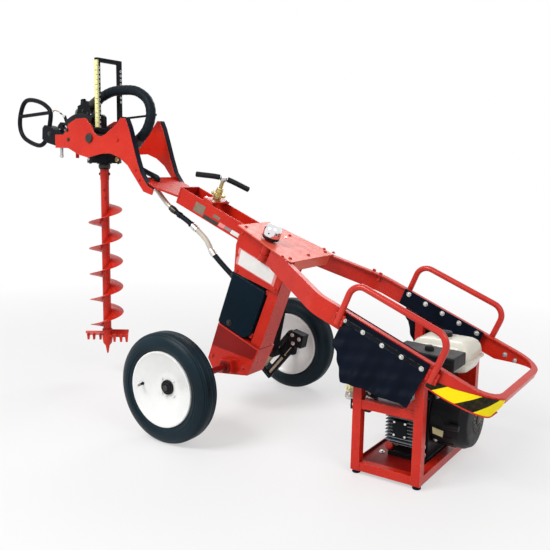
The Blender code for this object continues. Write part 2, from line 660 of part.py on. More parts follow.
def drive(swing):
    """Gearbox, motor and what turns with them, placed from the swing axis."""
    def local(x, y, z):
        return (x - PIVOT_X, y, z - PIVOT_Z)

    centre = local(DRIVE_X, 0, 0)
    case = lathe([(0, FLANGE_LOW), (FLANGE_RADIUS, FLANGE_LOW), (FLANGE_RADIUS, FLANGE_HIGH),
                  (CASE_RADIUS, FLANGE_HIGH + 0.004), (CASE_RADIUS, CASE_TOP - 0.008),
                  (CASE_RADIUS - 0.008, CASE_TOP), (0, CASE_TOP)], "Z", centre, 32)
    boss = rod((0, GAP - HEAD_HALF, 0), (0, HEAD_HALF - GAP, 0), BOSS_RADIUS, 22)
    bores = [rod((0, side * BOSS_CORE, 0), (0, side * (HEAD_HALF + 0.01), 0), PIVOT_RADIUS + GAP)
             for side in (1, -1)]
    piece("drive_housing", BLACK_PAINT, swing, [case, boss], bores)

    motor = lathe([(0, CASE_TOP + GAP), (MOTOR_RADIUS, CASE_TOP + GAP), (MOTOR_RADIUS, MOTOR_TOP - 0.006),
                   (MOTOR_RADIUS - 0.006, MOTOR_TOP), (0, MOTOR_TOP)], "Z", local(MOTOR_X, 0, 0))
    seat = Vector((HOSE_START[0], 0, HOSE_START[1])) - HOSE_AXIS * (FITTING_LENGTH + GAP)
    across = Vector((HOSE_AXIS.z, 0, -HOSE_AXIS.x))
    high = seat + across * 0.022
    low = seat - across * 0.024
    port = prism([(low.x - PIVOT_X, low.z - PIVOT_Z), (high.x - PIVOT_X, high.z - PIVOT_Z),
                  (0.905 - PIVOT_X, 1.244 - PIVOT_Z), (0.905 - PIVOT_X, 1.206 - PIVOT_Z),
                  (0.836 - PIVOT_X, 1.182 - PIVOT_Z), (0.800 - PIVOT_X, 1.190 - PIVOT_Z),
                  (0.800 - PIVOT_X, 1.2012 - PIVOT_Z)], "Y", -0.022, 0.022)
    end = Vector(local(HOSE_START[0], 0, HOSE_START[1])) - HOSE_AXIS * GAP
    nipple = rod(end - HOSE_AXIS * (FITTING_LENGTH + 0.004), end, HOSE_LOOP_RADIUS * 0.92, 12)
    piece("hydraulic_motor", GREY_IRON, swing, [motor, port, nipple])

    foot = BOSS_RADIUS + GAP
    top = BOW_TOP - PIVOT_Z
    inner = BOW_HALF - BOW_BAR
    outline = [(-BOW_HALF, foot), (-BOW_HALF, top), (BOW_HALF, top), (BOW_HALF, foot), (inner, foot),
               (inner, top - BOW_BAR), (-inner, top - BOW_BAR), (-inner, foot)]
    piece("hose_bow", BLACK_PAINT, swing,
          [prism(outline, "X", *around(BOW_X - PIVOT_X, BOW_DEPTH / 2))])

    arm_points = [(0.782, 1.180), (0.820, 1.192), (0.866, 1.198), (0.905, 1.190), (0.952, 1.168)]
    arm_y = MOTOR_RADIUS + GAP + 0.006
    path = smooth_path([local(x, arm_y, z) for x, z in arm_points], 0.02)
    bar = sweep(path, lambda index: [(-0.012, -0.006), (0.012, -0.006), (0.012, 0.006), (-0.012, 0.006)],
                (0, 1, 0))
    piece("control_arm", BLACK_PLASTIC, swing, [bar])

    rod_y = -(CASE_RADIUS - 0.006)
    lock = rod(local(0.690, rod_y, 1.189), local(0.492, rod_y, 1.202), ROD_RADIUS, 10)
    clamp = prism([(0.672, 1.155), (0.672, 1.196), (0.710, 1.199), (0.7146, 1.155)], "Y",
                  rod_y - 0.010, rod_y + 0.010)
    bmesh.ops.translate(clamp, verts=clamp.verts, vec=(-PIVOT_X, 0, -PIVOT_Z))
    stem = prism([(0.700, 1.110), (0.700, 1.160), (0.7146, 1.160), (0.7146, 1.126)], "Y",
                 rod_y - 0.009, rod_y + 0.009)
    bmesh.ops.translate(stem, verts=stem.verts, vec=(-PIVOT_X, 0, -PIVOT_Z))
    grooved = rod((0, -HEAD_HALF, 0), (0, HEAD_HALF, 0), BOSS_RADIUS + GAP, 22)
    core = rod((centre[0], 0, 1.0 - PIVOT_Z), (centre[0], 0, 1.3 - PIVOT_Z), CASE_RADIUS + GAP, 32)
    piece("swing_lock_rod", BLACK_PAINT, swing, [lock, clamp, stem], [grooved, core])


def hoses():
    start = Vector((HOSE_START[0], 0, HOSE_START[1]))
    ends = HOSE_END
    exit_axis = Vector((0.75, 0.0, -0.66)).normalized()
    arch = [(0.701, 0.002, 0.981), (0.617, 0.004, 1.000), (0.548, 0.008, 0.961), (0.489, 0.012, 0.816),
            (0.459, 0.018, 0.628), (0.453, 0.024, 0.401), (0.468, 0.030, 0.184)]
    route = [(x, y, PIVOT_Z + HOSE_RISE * share) for x, y, share in arch]
    path = hose_path(start, HOSE_AXIS, route, ends, exit_axis, 0.016, 0.034)
    tube("hose_loop", RUBBER, ROOT, path, HOSE_LOOP_RADIUS, 3)

    across, along = HOSE_HOLE
    hole = from_frame(along, across, FLOOR_TOP - FLOOR_THICK / 2)
    drop = (from_frame(0, 0, 0) - from_frame(0, 0, 1)).normalized()
    tank = from_frame(RESERVOIR_FRONT + GAP, 0.030, RESERVOIR_TOP - 0.026)
    into_tank = (from_frame(0, 0, 0) - from_frame(1, 0, 0)).normalized()
    route = [(0.556, 0.036, 1.022), (0.522, 0.037, 0.984), (0.462, 0.038, 0.958), hole - drop * 0.016,
             hole, hole + drop * 0.020, (0.385, 0.038, 0.866), (0.340, 0.034, 0.822),
             (0.285, 0.031, 0.787), (0.231, 0.030, 0.757), (0.151, 0.030, 0.700), (0.105, 0.030, 0.640)]
    path = hose_path(ends + exit_axis * GAP, exit_axis, route, tank, into_tank, 0.008, 0.020)
    tube("boom_hoses", STEEL, ROOT, path, BOOM_HOSE_RADIUS)


def auger(spin):
    """The coupling, the flighted auger and its cutting head, placed from the drive's flange."""
    top = FLANGE_LOW - GAP
    joint = top - COUPLING_LENGTH
    piece("output_coupling", BLACK_PAINT, spin, [lathe([
        (0, joint - top), (COUPLING_RADIUS, joint - top), (COUPLING_RADIUS, 0), (0, 0)])])

    shaft_top = joint - GAP - top
    flight_low = FLIGHT_LOW - top
    shaft = lathe([(0, flight_low - 0.004), (SHAFT_RADIUS, flight_low - 0.004),
                   (SHAFT_RADIUS, shaft_top - 0.050), (SHAFT_RADIUS * 1.25, shaft_top - 0.046),
                   (SHAFT_RADIUS * 1.25, shaft_top), (0, shaft_top)], "Z", segments=20)
    turns = (FLIGHT_TOP - FLIGHT_LOW) / FLIGHT_PITCH
    steps = round(turns * 20)
    flight = bmesh.new()
    rings = []
    for step in range(steps + 1):
        angle = math.tau * turns * step / steps + 0.11
        height = flight_low + (FLIGHT_TOP - FLIGHT_LOW) * step / steps
        grow = min(1.0, (steps - step + 1) / 5)
        outer = SHAFT_RADIUS + (FLIGHT_RADIUS - SHAFT_RADIUS) * grow
        ring = []
        for radius, lift in ((SHAFT_RADIUS * 0.7, 0), (outer, FLIGHT_THICK * 0.2),
                             (outer, FLIGHT_THICK * 0.8), (SHAFT_RADIUS * 0.7, FLIGHT_THICK)):
            ring.append(flight.verts.new((radius * math.cos(angle), radius * math.sin(angle),
                                          height + lift)))
        rings.append(ring)
    for ring, after in zip(rings, rings[1:]):
        for corner in range(4):
            following = (corner + 1) % 4
            flight.faces.new((ring[corner], ring[following], after[following], after[corner]))
    flight.faces.new(rings[0])
    flight.faces.new(rings[-1])
    piece("auger", RED, spin, [shaft, flight])

    head_top = flight_low - 0.004 - GAP
    tip = AUGER_TIP - top
    core = lathe([(0, tip), (0.004, tip + 0.006), (0.010, tip + 0.040), (0.020, tip + 0.052),
                  (0.023, tip + 0.070), (0.023, head_top), (0, head_top)], "Z", segments=16)
    wings = []
    for side in (1, -1):
        wing = box((0.008, BLADE_RADIUS - 0.012), around(0, 0.022), around(0, 0.005))
        bmesh.ops.rotate(wing, verts=wing.verts, matrix=Matrix.Rotation(math.radians(28), 3, "X"))
        for place in (0.036, 0.066, 0.092):
            tooth = prism([(-0.008, 0.000), (0.008, 0.000), (0.005, -0.036), (-0.003, -0.036)],
                          "Y", -0.026, -0.014)
            bmesh.ops.translate(tooth, verts=tooth.verts, vec=(place, 0, 0))
            wings.append((tooth, side))
        wings.append((wing, side))
    for shape, side in wings:
        turn = Matrix.Rotation(math.radians(35) + (0 if side > 0 else math.pi), 3, "Z")
        bmesh.ops.rotate(shape, verts=shape.verts, matrix=turn)
        bmesh.ops.translate(shape, verts=shape.verts, vec=(0, 0, head_top - 0.022))
    piece("auger_teeth", RED, spin, [core] + [shape for shape, side in wings])


def mast():
    cheek_in = BOOM_HALF + GAP
    cheek_out = cheek_in + CHEEK_THICK
    outline = [(0.150, -0.012), (0.150, -0.085), (0.116, -0.190), (-0.094, -0.172), (-0.100, -0.012)]
    piece("cheek_left", RED, FRAME, [prism(outline, "Y", cheek_in, cheek_out)])
    piece("cheek_right", RED, FRAME, [prism(outline, "Y", -cheek_out, -cheek_in)])

    top = -BOOM_DEPTH - GAP
    foot = RESERVOIR_LOW - GAP
    column = prism([(-0.050, top), (-0.058, foot + GAP), (-0.106, foot + GAP), (-0.090, top)], "Y",
                   -MAST_HALF, MAST_HALF)
    ears = box((-0.088, -0.052), around(0, BOOM_HALF), (top - 0.080, top))
    piece("mast", RED, FRAME, [column, ears])

    piece("oil_reservoir", BLACK_PAINT, FRAME, [prism([
        (RESERVOIR_FRONT, RESERVOIR_TOP), (RESERVOIR_BACK, RESERVOIR_TOP),
        (RESERVOIR_BACK - 0.004, RESERVOIR_LOW + 0.030), (RESERVOIR_BACK + 0.022, RESERVOIR_LOW),
        (RESERVOIR_FRONT - 0.012, RESERVOIR_LOW)], "Y", -BOOM_HALF, BOOM_HALF)])

    pedestal = prism([(0.108, foot), (-0.108, foot), (-0.102, -0.543), (-0.060, -0.566),
                      (0.045, -0.622), (0.098, -0.582)], "Y", -PEDESTAL_HALF, PEDESTAL_HALF)
    beam = box(around(0, AXLE_BEAM_WIDE), around(0, AXLE_BEAM_HALF), around(TYRE_RADIUS, AXLE_BEAM_TALL))
    bore = rod((0, -0.2, TYRE_RADIUS), (0, 0.2, TYRE_RADIUS), AXLE_RADIUS + GAP)
    for shape in (beam, bore):
        for vert in shape.verts:
            along, up = to_frame(vert.co.x, vert.co.z)
            vert.co.x = along
            vert.co.z = up
    piece("axle_pedestal", RED, FRAME, [pedestal, beam], [bore])

    neck_y = cheek_out + GAP + NECK_RADIUS
    neck = lathe([(0, NECK_LOW), (NECK_RADIUS, NECK_LOW), (NECK_RADIUS, NECK_TOP), (0, NECK_TOP)], "Z",
                 (NECK_X, neck_y, 0), 20)
    ledge = box(around(NECK_X, NECK_RADIUS * 1.2), (cheek_out + GAP, neck_y), (NECK_LOW - 0.012, NECK_LOW + 0.02))
    piece("filler_neck", RED, FRAME, [neck, ledge])
    cap = empty("filler_cap_axis", FRAME, (NECK_X, neck_y, NECK_TOP + GAP))
    piece("filler_cap", CHROME, cap, [lathe([
        (0, 0), (CAP_RADIUS * 0.8, 0), (CAP_RADIUS, 0.008), (CAP_RADIUS, CAP_HEIGHT * 0.7),
        (CAP_RADIUS * 0.7, CAP_HEIGHT * 0.93), (0, CAP_HEIGHT)])])


def strut():
    """The latch bars beside the far wheel, clamped to the axle."""
    side = -0.262
    clamp = lathe([(AXLE_RADIUS + GAP, -0.020), (0.034, -0.020), (0.034, 0.020), (AXLE_RADIUS + GAP, 0.020)],
                  "Y", (0, side, TYRE_RADIUS))
    low, high = Vector((0.030, 0, 0.080)), Vector((-0.150, 0, 0.292))
    down = (low - high).normalized()
    over = Vector((-down.z, 0, down.x))
    bars = []
    for shift, width in ((0.0, 0.016), (0.046, 0.010)):
        corners = [low + over * (shift - width), low + over * (shift + width),
                   high + over * (shift + width), high + over * (shift - width)]
        bars.append(prism([(corner.x, corner.z) for corner in corners], "Y", side - 0.008, side + 0.008))
    block = prism([(-0.160, 0.250), (-0.175, 0.318), (-0.110, 0.330), (-0.088, 0.262)], "Y",
                  side - 0.024, side + 0.024)
    web = prism([(-0.120, 0.262), (-0.012, 0.226), (-0.020, 0.176), (-0.118, 0.190)], "Y",
                side - 0.010, side + 0.010)
    bore = rod((0, side - 0.1, TYRE_RADIUS), (0, side + 0.1, TYRE_RADIUS), AXLE_RADIUS + GAP)
    piece("prop_strut", BLACK_PAINT, ROOT, [clamp, bars[0], bars[1], block, web], [bore])


def clamp():
    base = box(around(CLAMP_X, CLAMP_PLATE_HALF), around(0, BOOM_HALF), (GAP, CLAMP_PLATE))
    nut = lathe([(0, CLAMP_PLATE / 2), (NUT_RADIUS, CLAMP_PLATE / 2), (NUT_RADIUS, NUT_RIM_LOW),
                 (NUT_RIM_RADIUS, NUT_RIM_LOW), (NUT_RIM_RADIUS, NUT_RIM_HIGH),
                 (NUT_RADIUS, NUT_RIM_HIGH), (NUT_RADIUS, NUT_TOP), (0, NUT_TOP)],
                "Z", (CLAMP_X, 0, 0), 20)
    bore = rod((CLAMP_X, 0, -0.1), (CLAMP_X, 0, 0.1), SCREW_RADIUS + GAP, 16)
    piece("clamp_base", BRASS, FRAME, [base, nut], [bore])

    axis = empty("clamp_axis", FRAME, (CLAMP_X, 0, 0))
    screw = rod((0, 0, -0.030), (0, 0, T_BAR_HEIGHT), SCREW_RADIUS, 14)
    stop = rod((0, 0, NUT_TOP + GAP), (0, 0, NUT_TOP + STOP_HEIGHT), STOP_RADIUS, 14)
    across = math.radians(45)
    ends = [Vector((side * T_BAR_REACH * math.cos(across), side * T_BAR_REACH * math.sin(across),
                    T_BAR_HEIGHT - T_BAR_DROOP)) for side in (1, -1)]
    path = smooth_path([ends[0], (0, 0, T_BAR_HEIGHT), ends[1]], 0.028)
    bar = sweep(path, circle_section(T_BAR_RADIUS, 10), (math.sin(across), -math.cos(across), 0))
    piece("clamp_handle", BLACK_PLASTIC, axis, [bar, screw, stop])


def hand_loops():
    centre = RAIL_HALF + GAP + HAND_LOOP_RADIUS
    for name, side in (("left", 1), ("right", -1)):
        corners = [(HAND_LOOP_FRONT, side * centre, HAND_LOOP_FOOT),
                   (HAND_LOOP_FRONT, side * centre, HAND_LOOP_TOP),
                   (HAND_LOOP_REAR, side * centre, HAND_LOOP_TOP),
                   (HAND_LOOP_REAR, side * centre, HAND_LOOP_FOOT)]
        path = rounded(corners, [HAND_LOOP_CORNER, HAND_LOOP_CORNER], 6)
        tube(f"hand_loop_{name}", RED, FRAME, path, HAND_LOOP_RADIUS)


def sheet(rows, thickness):
    """A bent sheet from rows of front points, made solid by moving a copy along its thickness."""
    shape = bmesh.new()
    front = [[shape.verts.new(point) for point in row] for row in rows]
    back = [[shape.verts.new(Vector(point) + Vector(thickness)) for point in row] for row in rows]
    high, wide = len(rows), len(rows[0])
    for layer in (front, back):
        for row in range(high - 1):
            for column in range(wide - 1):
                shape.faces.new((layer[row][column], layer[row][column + 1],
                                 layer[row + 1][column + 1], layer[row + 1][column]))
    border = [(0, c) for c in range(wide)] + [(r, wide - 1) for r in range(1, high)]
    border += [(high - 1, c) for c in range(wide - 2, -1, -1)] + [(r, 0) for r in range(high - 2, 0, -1)]
    for here, after in zip(border, border[1:] + border[:1]):
        shape.faces.new((front[here[0]][here[1]], front[after[0]][after[1]],
                         back[after[0]][after[1]], back[here[0]][here[1]]))
    return shape


def pads():
    """The guard flaps: an outer one that flares out below its bolts, and an inner strip."""
    columns = [PAD_FRONT, PAD_FRONT - 0.030, PAD_FRONT - 0.085, PAD_FRONT - 0.130, PAD_FRONT - 0.220,
               PAD_REAR]
    lows = [-0.108, -0.126, -0.206, -0.190, -0.172, -0.155]
    outer = RAIL_HALF + GAP
    for name, side in (("left", 1), ("right", -1)):
        rows = []
        for share in (0.0, 0.2, 0.5, 0.75, 1.0):
            row = []
            for column, low in zip(columns, lows):
                up = -0.004 + (low + 0.004) * share
                flare = max(0.0, -0.034 - up) * 0.22
                row.append((column, side * (outer + flare), up))
            rows.append(row)
        flap = sheet(rows, (0, side * PAD_THICK, 0))
        inner = RAIL_HALF - RAIL_FLANGE - GAP
        strip = box((PAD_REAR, PAD_FRONT + 0.020), sorted((side * inner, side * (inner - PAD_THICK))),
                    (-0.062, 0.002))
        piece(f"guard_pad_{name}", RUBBER, FRAME, [flap])
        piece(f"inner_pad_{name}", RUBBER, FRAME, [strip])


def rail_bottom(x):
    """Machine height of the rails' lower edge, at one X, less a gap."""
    drop = (RAIL_DEPTH + GAP) / math.cos(FRAME_TILT)
    return FRAME_Z + (x - FRAME_X) * math.tan(FRAME_TILT) - drop


def engine_stand():
    half = LEG / 2
    shapes = []
    for side in (1, -1):
        across = sorted((side * (LEG_Y - half), side * (LEG_Y + half)))
        for centre in (LEG_FRONT_X, LEG_REAR_X):
            low, high = around(centre, half)
            shapes.append(prism([(low, FOOT_HEIGHT), (high, FOOT_HEIGHT),
                                 (high, rail_bottom(high)), (low, rail_bottom(low))], "Y", *across))
            shapes.append(rod((centre, side * LEG_Y, 0), (centre, side * LEG_Y, FOOT_HEIGHT * 1.2),
                              FOOT_RADIUS, 16))
        for height in (BAR_LOW_Z, BAR_HIGH_Z):
            shapes.append(box((LEG_REAR_X, LEG_FRONT_X), around(side * LEG_Y, BAR / 2 - 0.001),
                              around(height, BAR / 2 - 0.0005)))
        top = BAR_HIGH_Z + BAR / 2 - 0.004
        inner = LEG_REAR_X + half - 0.004
        shapes.append(prism([(inner, top), (inner + 0.044, top), (inner, top + 0.048)], "Y",
                            *around(side * LEG_Y, BAR / 2 - 0.003)))
    shapes.append(box(around(LEG_REAR_X, BAR / 2), (-LEG_Y, LEG_Y), around(BAR_LOW_Z, BAR / 2 - 0.001)))
    piece("engine_stand", RED, ROOT, shapes)

    edge = LEG_Y - half - GAP
    front = LEG_FRONT_X + half
    rear = LEG_REAR_X + BAR / 2 + GAP
    low = BAR_LOW_Z - BAR / 2 + 0.006
    floor = low + TRAY_THICK
    pan = box((rear, front), (-edge, edge), (low, low + TRAY_RIM))
    hollow = box((rear + 0.004, front - 0.004), (0.004 - edge, edge - 0.004), (floor, low + 0.1))
    piece("stand_tray", DARK_RED, ROOT, [pan], [hollow])
    return floor + GAP


def engine(floor):
    front, rear = BLOCK_FRONT, BLOCK_REAR
    base = box((rear - 0.004, front + 0.010), around(0, BLOCK_HALF + 0.008), (floor, floor + 0.016))
    body = box((rear, front), around(0, BLOCK_HALF), (floor + 0.010, 0.262))
    shroud = box((rear + 0.006, front - 0.012), (-0.088, 0.062), (0.250, BLOCK_TOP))
    piece("engine_block", BLACK_PAINT, ROOT, [base, body, shroud])

    start = rear - GAP
    piece("recoil_housing", BLACK_PLASTIC, ROOT, [lathe([
        (0, start), (RECOIL_RADIUS, start), (RECOIL_RADIUS, start - RECOIL_DEPTH * 0.76),
        (RECOIL_RADIUS * 0.88, start - RECOIL_DEPTH * 0.95), (RECOIL_RADIUS * 0.55, start - RECOIL_DEPTH),
        (0, start - RECOIL_DEPTH)], "X", (0, 0, CRANK_Z), 28)])

    wall = BLOCK_HALF + GAP
    comb = [(wall, 0.090), (wall, 0.236)]
    fins = 6
    pitch = CYLINDER_REACH * 0.72 / fins
    for number in range(fins):
        here = wall + 0.010 + pitch * number
        comb += [(here, 0.236), (here, 0.244), (here + pitch * 0.45, 0.244), (here + pitch * 0.45, 0.226)]
        comb += [(here + pitch, 0.226)]
    comb += [(wall + CYLINDER_REACH, 0.226), (wall + CYLINDER_REACH, 0.100)]
    piece("engine_cylinder", ALUMINIUM, ROOT, [prism(comb, "X", rear + 0.012, front - 0.012)])

    piece("muffler", BLACK_PAINT, ROOT, [soft_box((rear + 0.006, front - 0.006),
                                                  (-wall - 0.092, -wall), (0.150, 0.290), 0.014)])

    piece("fuel_tank", CREAM, ROOT, [soft_box((-0.965, -0.742), (-0.150, 0.036), (TANK_LOW, TANK_TOP),
                                              0.022, 3)])
    cap = empty("fuel_cap_axis", ROOT, (-0.845, -0.055, TANK_TOP + GAP))
    piece("fuel_cap", BLACK_PLASTIC, cap, [lathe([(0, 0), (0.026, 0), (0.026, 0.014), (0.021, 0.018),
                                                  (0, 0.018)])])

    slab = prism([(-0.955, 0.368), (-0.955, 0.410), (-0.745, 0.418), (-0.745, 0.330), (-0.790, 0.330)],
                 "Y", 0.037, 0.150)
    neck = box((-0.830, -0.780), (0.106, 0.140), (0.2443, 0.40))
    piece("air_cleaner", BLACK_PLASTIC, ROOT, [slab, neck])

    nose = front + 0.010 + GAP
    pump = lathe([(0, front + GAP), (PUMP_RADIUS, front + GAP), (PUMP_RADIUS, nose + 0.030),
                  (PUMP_RADIUS * 0.72, nose + 0.036), (PUMP_RADIUS * 0.72, front + PUMP_LENGTH),
                  (0, front + PUMP_LENGTH)], "X", (0, 0, CRANK_Z), 20)
    body = box((-0.640, -0.565), (-0.040, 0.086), (CRANK_Z - 0.030, CRANK_Z + 0.050))
    piece("hydraulic_pump", BLACK_PAINT, ROOT, [pump, body])

    top = CRANK_Z + 0.050 + GAP
    fittings = [box((-0.632, -0.572), (-0.026, 0.076), (top, top + 0.016))]
    for x, y, height in ((-0.618, 0.058, 0.044), (-0.584, 0.058, 0.058), (-0.602, -0.010, 0.036)):
        fittings.append(lathe([(0, top + 0.008), (0.013, top + 0.008), (0.013, top + 0.026),
                               (0.009, top + 0.030), (0.009, top + height), (0, top + height)],
                              "Z", (x, y, 0), 12))
    piece("pump_fittings", BRASS, ROOT, fittings)

    inner = LEG_Y - BAR / 2 + 0.001 - GAP
    valve = soft_box((-0.850, -0.735), (inner - 0.038, inner), (BAR_HIGH_Z - 0.010, BAR_HIGH_Z + 0.048), 0.006, 1)
    stub = rod((-0.778, inner - 0.019, BAR_HIGH_Z + 0.040), (-0.778, inner - 0.019, BAR_HIGH_Z + 0.064), 0.012, 12)
    piece("valve_block", ALUMINIUM, ROOT, [valve, stub])

    lever_axis = empty("valve_lever_axis", ROOT, (-0.712, inner - 0.019, BAR_HIGH_Z + 0.020))
    pivot = rod((-0.0227 + GAP, 0, 0), (0.006, 0, 0), 0.009, 12)
    handle = rod((0, 0, 0), (0, -LEVER_LENGTH * 0.35, LEVER_LENGTH * 0.45), 0.0045, 8)
    piece("valve_lever", BLACK_PLASTIC, lever_axis, [pivot, handle])

    pull = Vector((0, 1, 0))
    grip_x = rear - GAP - RECOIL_DEPTH * GRIP_SHARE
    seat = Vector((grip_x, 0, CRANK_Z)) + pull * (RECOIL_RADIUS - 0.0005)
    eye = lathe([(0, 0), (0.006, 0), (0.006, 0.016), (0, 0.016)], pull, seat, 8)
    bar_centre = seat + pull * 0.022
    grip = rod(bar_centre - Vector((0.026, 0, 0)), bar_centre + Vector((0.026, 0, 0)), GRIP_RADIUS, 12)
    shell = lathe([(0, grip_x - 0.1), (RECOIL_RADIUS + GAP, grip_x - 0.1),
                   (RECOIL_RADIUS + GAP, grip_x + 0.1), (0, grip_x + 0.1)], "X", (0, 0, CRANK_Z), 28)
    piece("recoil_grip", BLACK_PLASTIC, ROOT, [grip, eye], [shell])


def move_to_footprint():
    """Put the machine's origin at the middle of its footprint, on the ground."""
    bpy.context.view_layer.update()
    graph = bpy.context.evaluated_depsgraph_get()
    corners = []
    for thing in bpy.data.objects:
        if thing.type in {"MESH", "CURVE"} and not thing.hide_render:
            solid = thing.evaluated_get(graph)
            data = solid.to_mesh()
            corners += [thing.matrix_world @ vert.co for vert in data.vertices]
            solid.to_mesh_clear()
    for axis in range(2):
        values = [corner[axis] for corner in corners]
        ROOT.location[axis] = -(min(values) + max(values)) / 2
    ROOT.location.z = -min(corner.z for corner in corners)


def main():
    wheels()
    axle()
    boom()
    gusset()
    rails()
    head()
    guide_handle()
    swing = empty("swing_axis", ROOT, (PIVOT_X, 0, PIVOT_Z))
    drive(swing)
    spin = empty("auger_axis", swing, (DRIVE_X - PIVOT_X, 0, FLANGE_LOW - GAP - PIVOT_Z))
    auger(spin)
    hoses()
    mast()
    strut()
    clamp()
    hand_loops()
    pads()
    floor = engine_stand()
    engine(floor)
    move_to_footprint()


main()
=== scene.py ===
"""Looks for the towable post hole digger: camera, light, materials and the fine visible pieces.

Places are in metres. Rows of numbers for a profile, an outline or a route are in millimetres: mm()
and route() turn them into pairs or places. D() takes a place measured from the wheels' axle, F() one
in the tilted frame of the boom and rails (along, across, up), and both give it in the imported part's
own frame.
"""
import json
from math import asin, copysign, cos, exp, pi, radians, sin, tan, tau

import bmesh
import bpy
from mathutils import Matrix, Vector

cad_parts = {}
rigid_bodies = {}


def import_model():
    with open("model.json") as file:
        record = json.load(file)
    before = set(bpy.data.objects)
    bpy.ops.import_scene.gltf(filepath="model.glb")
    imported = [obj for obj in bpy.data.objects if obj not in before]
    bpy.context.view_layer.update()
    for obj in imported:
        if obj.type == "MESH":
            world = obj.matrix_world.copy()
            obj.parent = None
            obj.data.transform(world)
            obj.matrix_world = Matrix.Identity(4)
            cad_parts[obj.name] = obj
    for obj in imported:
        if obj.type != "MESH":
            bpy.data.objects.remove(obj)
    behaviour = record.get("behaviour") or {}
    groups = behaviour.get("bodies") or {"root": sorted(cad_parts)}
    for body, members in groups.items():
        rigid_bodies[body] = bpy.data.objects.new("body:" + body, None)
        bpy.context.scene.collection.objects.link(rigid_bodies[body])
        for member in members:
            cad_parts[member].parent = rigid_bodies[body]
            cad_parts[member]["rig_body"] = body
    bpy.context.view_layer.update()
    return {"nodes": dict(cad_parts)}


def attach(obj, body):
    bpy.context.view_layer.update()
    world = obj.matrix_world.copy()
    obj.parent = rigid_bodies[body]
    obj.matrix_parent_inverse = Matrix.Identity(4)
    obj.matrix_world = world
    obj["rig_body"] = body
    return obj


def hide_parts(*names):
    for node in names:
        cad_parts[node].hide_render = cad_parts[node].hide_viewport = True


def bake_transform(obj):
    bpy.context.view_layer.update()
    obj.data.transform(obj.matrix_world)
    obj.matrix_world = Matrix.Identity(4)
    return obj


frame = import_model()
NODES = frame["nodes"]

SHIFT = -0.1133643  # from the axle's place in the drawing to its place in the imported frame
TILT = radians(22.44)  # of the boom and rails
FRAME_X, FRAME_Z = -0.2, 0.7145  # where the tilted frame starts, at the top of the mast
TRACK = 0.4152  # from the middle of the machine to each wheel
AXLE_Z = 0.203
AUGER_X = 0.76
MOTOR_X = 0.8
PIVOT_X, PIVOT_Z = 0.726, 1.098  # the drive's trunnion
HOSE_START = (0.804, 0, 1.262)
HOSE_LEAVES = (-0.88, 0, 0.475)
RECOIL_Z = 0.18
ACROSS, AHEAD, UP = (0, 1, 0), (1, 0, 0), (0, 0, 1)
MARKS = ((1, "a"), (-1, "b"))
SIDES = ((1, "near"), (-1, "far"))
HANDS = ((1, "left"), (-1, "right"))


def D(x, y, z):
    return Vector((x + SHIFT, y, z))


def F(along, across, up):
    return Vector((FRAME_X + along * cos(TILT) - up * sin(TILT) + SHIFT, across,
                   FRAME_Z + along * sin(TILT) + up * cos(TILT)))


DESIGN = Matrix.Translation((SHIFT, 0, 0))
BOOM = Matrix.Translation(F(0, 0, 0)) @ Matrix.Rotation(-TILT, 4, "Y")
UP_BOOM = (F(1, 0, 0) - F(0, 0, 0)).normalized()
OUT_BOOM = (F(0, 0, 1) - F(0, 0, 0)).normalized()


# ---------------------------------------------------------------- camera
def camera():
    """The photograph's own camera, from a fit to the wheels, boom and auger."""
    yaw, pitch, roll = -0.9792, 0.155, 0.0188
    place = D(-1.6989, 2.27, 1.0067)
    focal_pixels, image_pixels, sensor = 716.84, 550, 36.0
    forward = Vector((cos(yaw) * cos(pitch), sin(yaw) * cos(pitch), -sin(pitch)))
    right = forward.cross(Vector(UP)).normalized()
    up = right.cross(forward)
    turned_right = right * cos(roll) + up * sin(roll)
    turned_up = up * cos(roll) - right * sin(roll)
    data = bpy.data.cameras.new("camera")
    data.sensor_width = sensor
    data.lens = focal_pixels / image_pixels * sensor
    made = bpy.data.objects.new("camera", data)
    bpy.context.scene.collection.objects.link(made)
    turn = Matrix((turned_right, turned_up, -forward)).transposed().to_4x4()
    made.matrix_world = Matrix.Translation(place) @ turn
    bpy.context.scene.camera = made


camera()


# ---------------------------------------------------------------- materials
def new_material(name):
    made = bpy.data.materials.new(name)
    made.use_nodes = True
    tree = made.node_tree
    return made, tree, tree.nodes["Principled BSDF"]


def node(tree, kind, **values):
    """A shader node with values for its inputs, named with _ for a space."""
    made = tree.nodes.new("ShaderNode" + kind)
    for name, value in values.items():
        made.inputs[name.replace("_", " ")].default_value = value
    return made


def connect(tree, value, socket):
    """Joins a node's output to a socket, or sets the socket to a plain value or colour."""
    if isinstance(value, bpy.types.NodeSocket):
        tree.links.new(value, socket)
    else:
        socket.default_value = (*value, 1.0) if isinstance(value, tuple) else value


def noise(tree, scale, detail=3.0, rough=0.5):
    made = node(tree, "TexNoise", Scale=scale, Detail=detail, Roughness=rough)
    tree.links.new(node(tree, "TexCoord").outputs["Object"], made.inputs["Vector"])
    return made.outputs["Fac"]


def ramp(tree, source, stops):
    made = node(tree, "ValToRGB")
    for element, (place, colour) in zip(made.color_ramp.elements, stops):
        element.position = place
        element.color = (*colour, 1.0)
    tree.links.new(source, made.inputs["Fac"])
    return made


def spread(tree, source, low, high, first=0.3, last=0.7):
    made = node(tree, "MapRange", From_Min=first, From_Max=last, To_Min=low, To_Max=high)
    tree.links.new(source, made.inputs["Value"])
    return made.outputs["Result"]


def mix(tree, factor, first, second):
    made = node(tree, "Mix")
    made.data_type = "RGBA"
    for name, value in (("Factor", factor), ("A", first), ("B", second)):
        connect(tree, value, made.inputs[name])
    return made.outputs["Result"]


def math_node(tree, kind, first, second):
    made = node(tree, "Math")
    made.operation = kind
    connect(tree, first, made.inputs[0])
    connect(tree, second, made.inputs[1])
    return made.outputs["Value"]


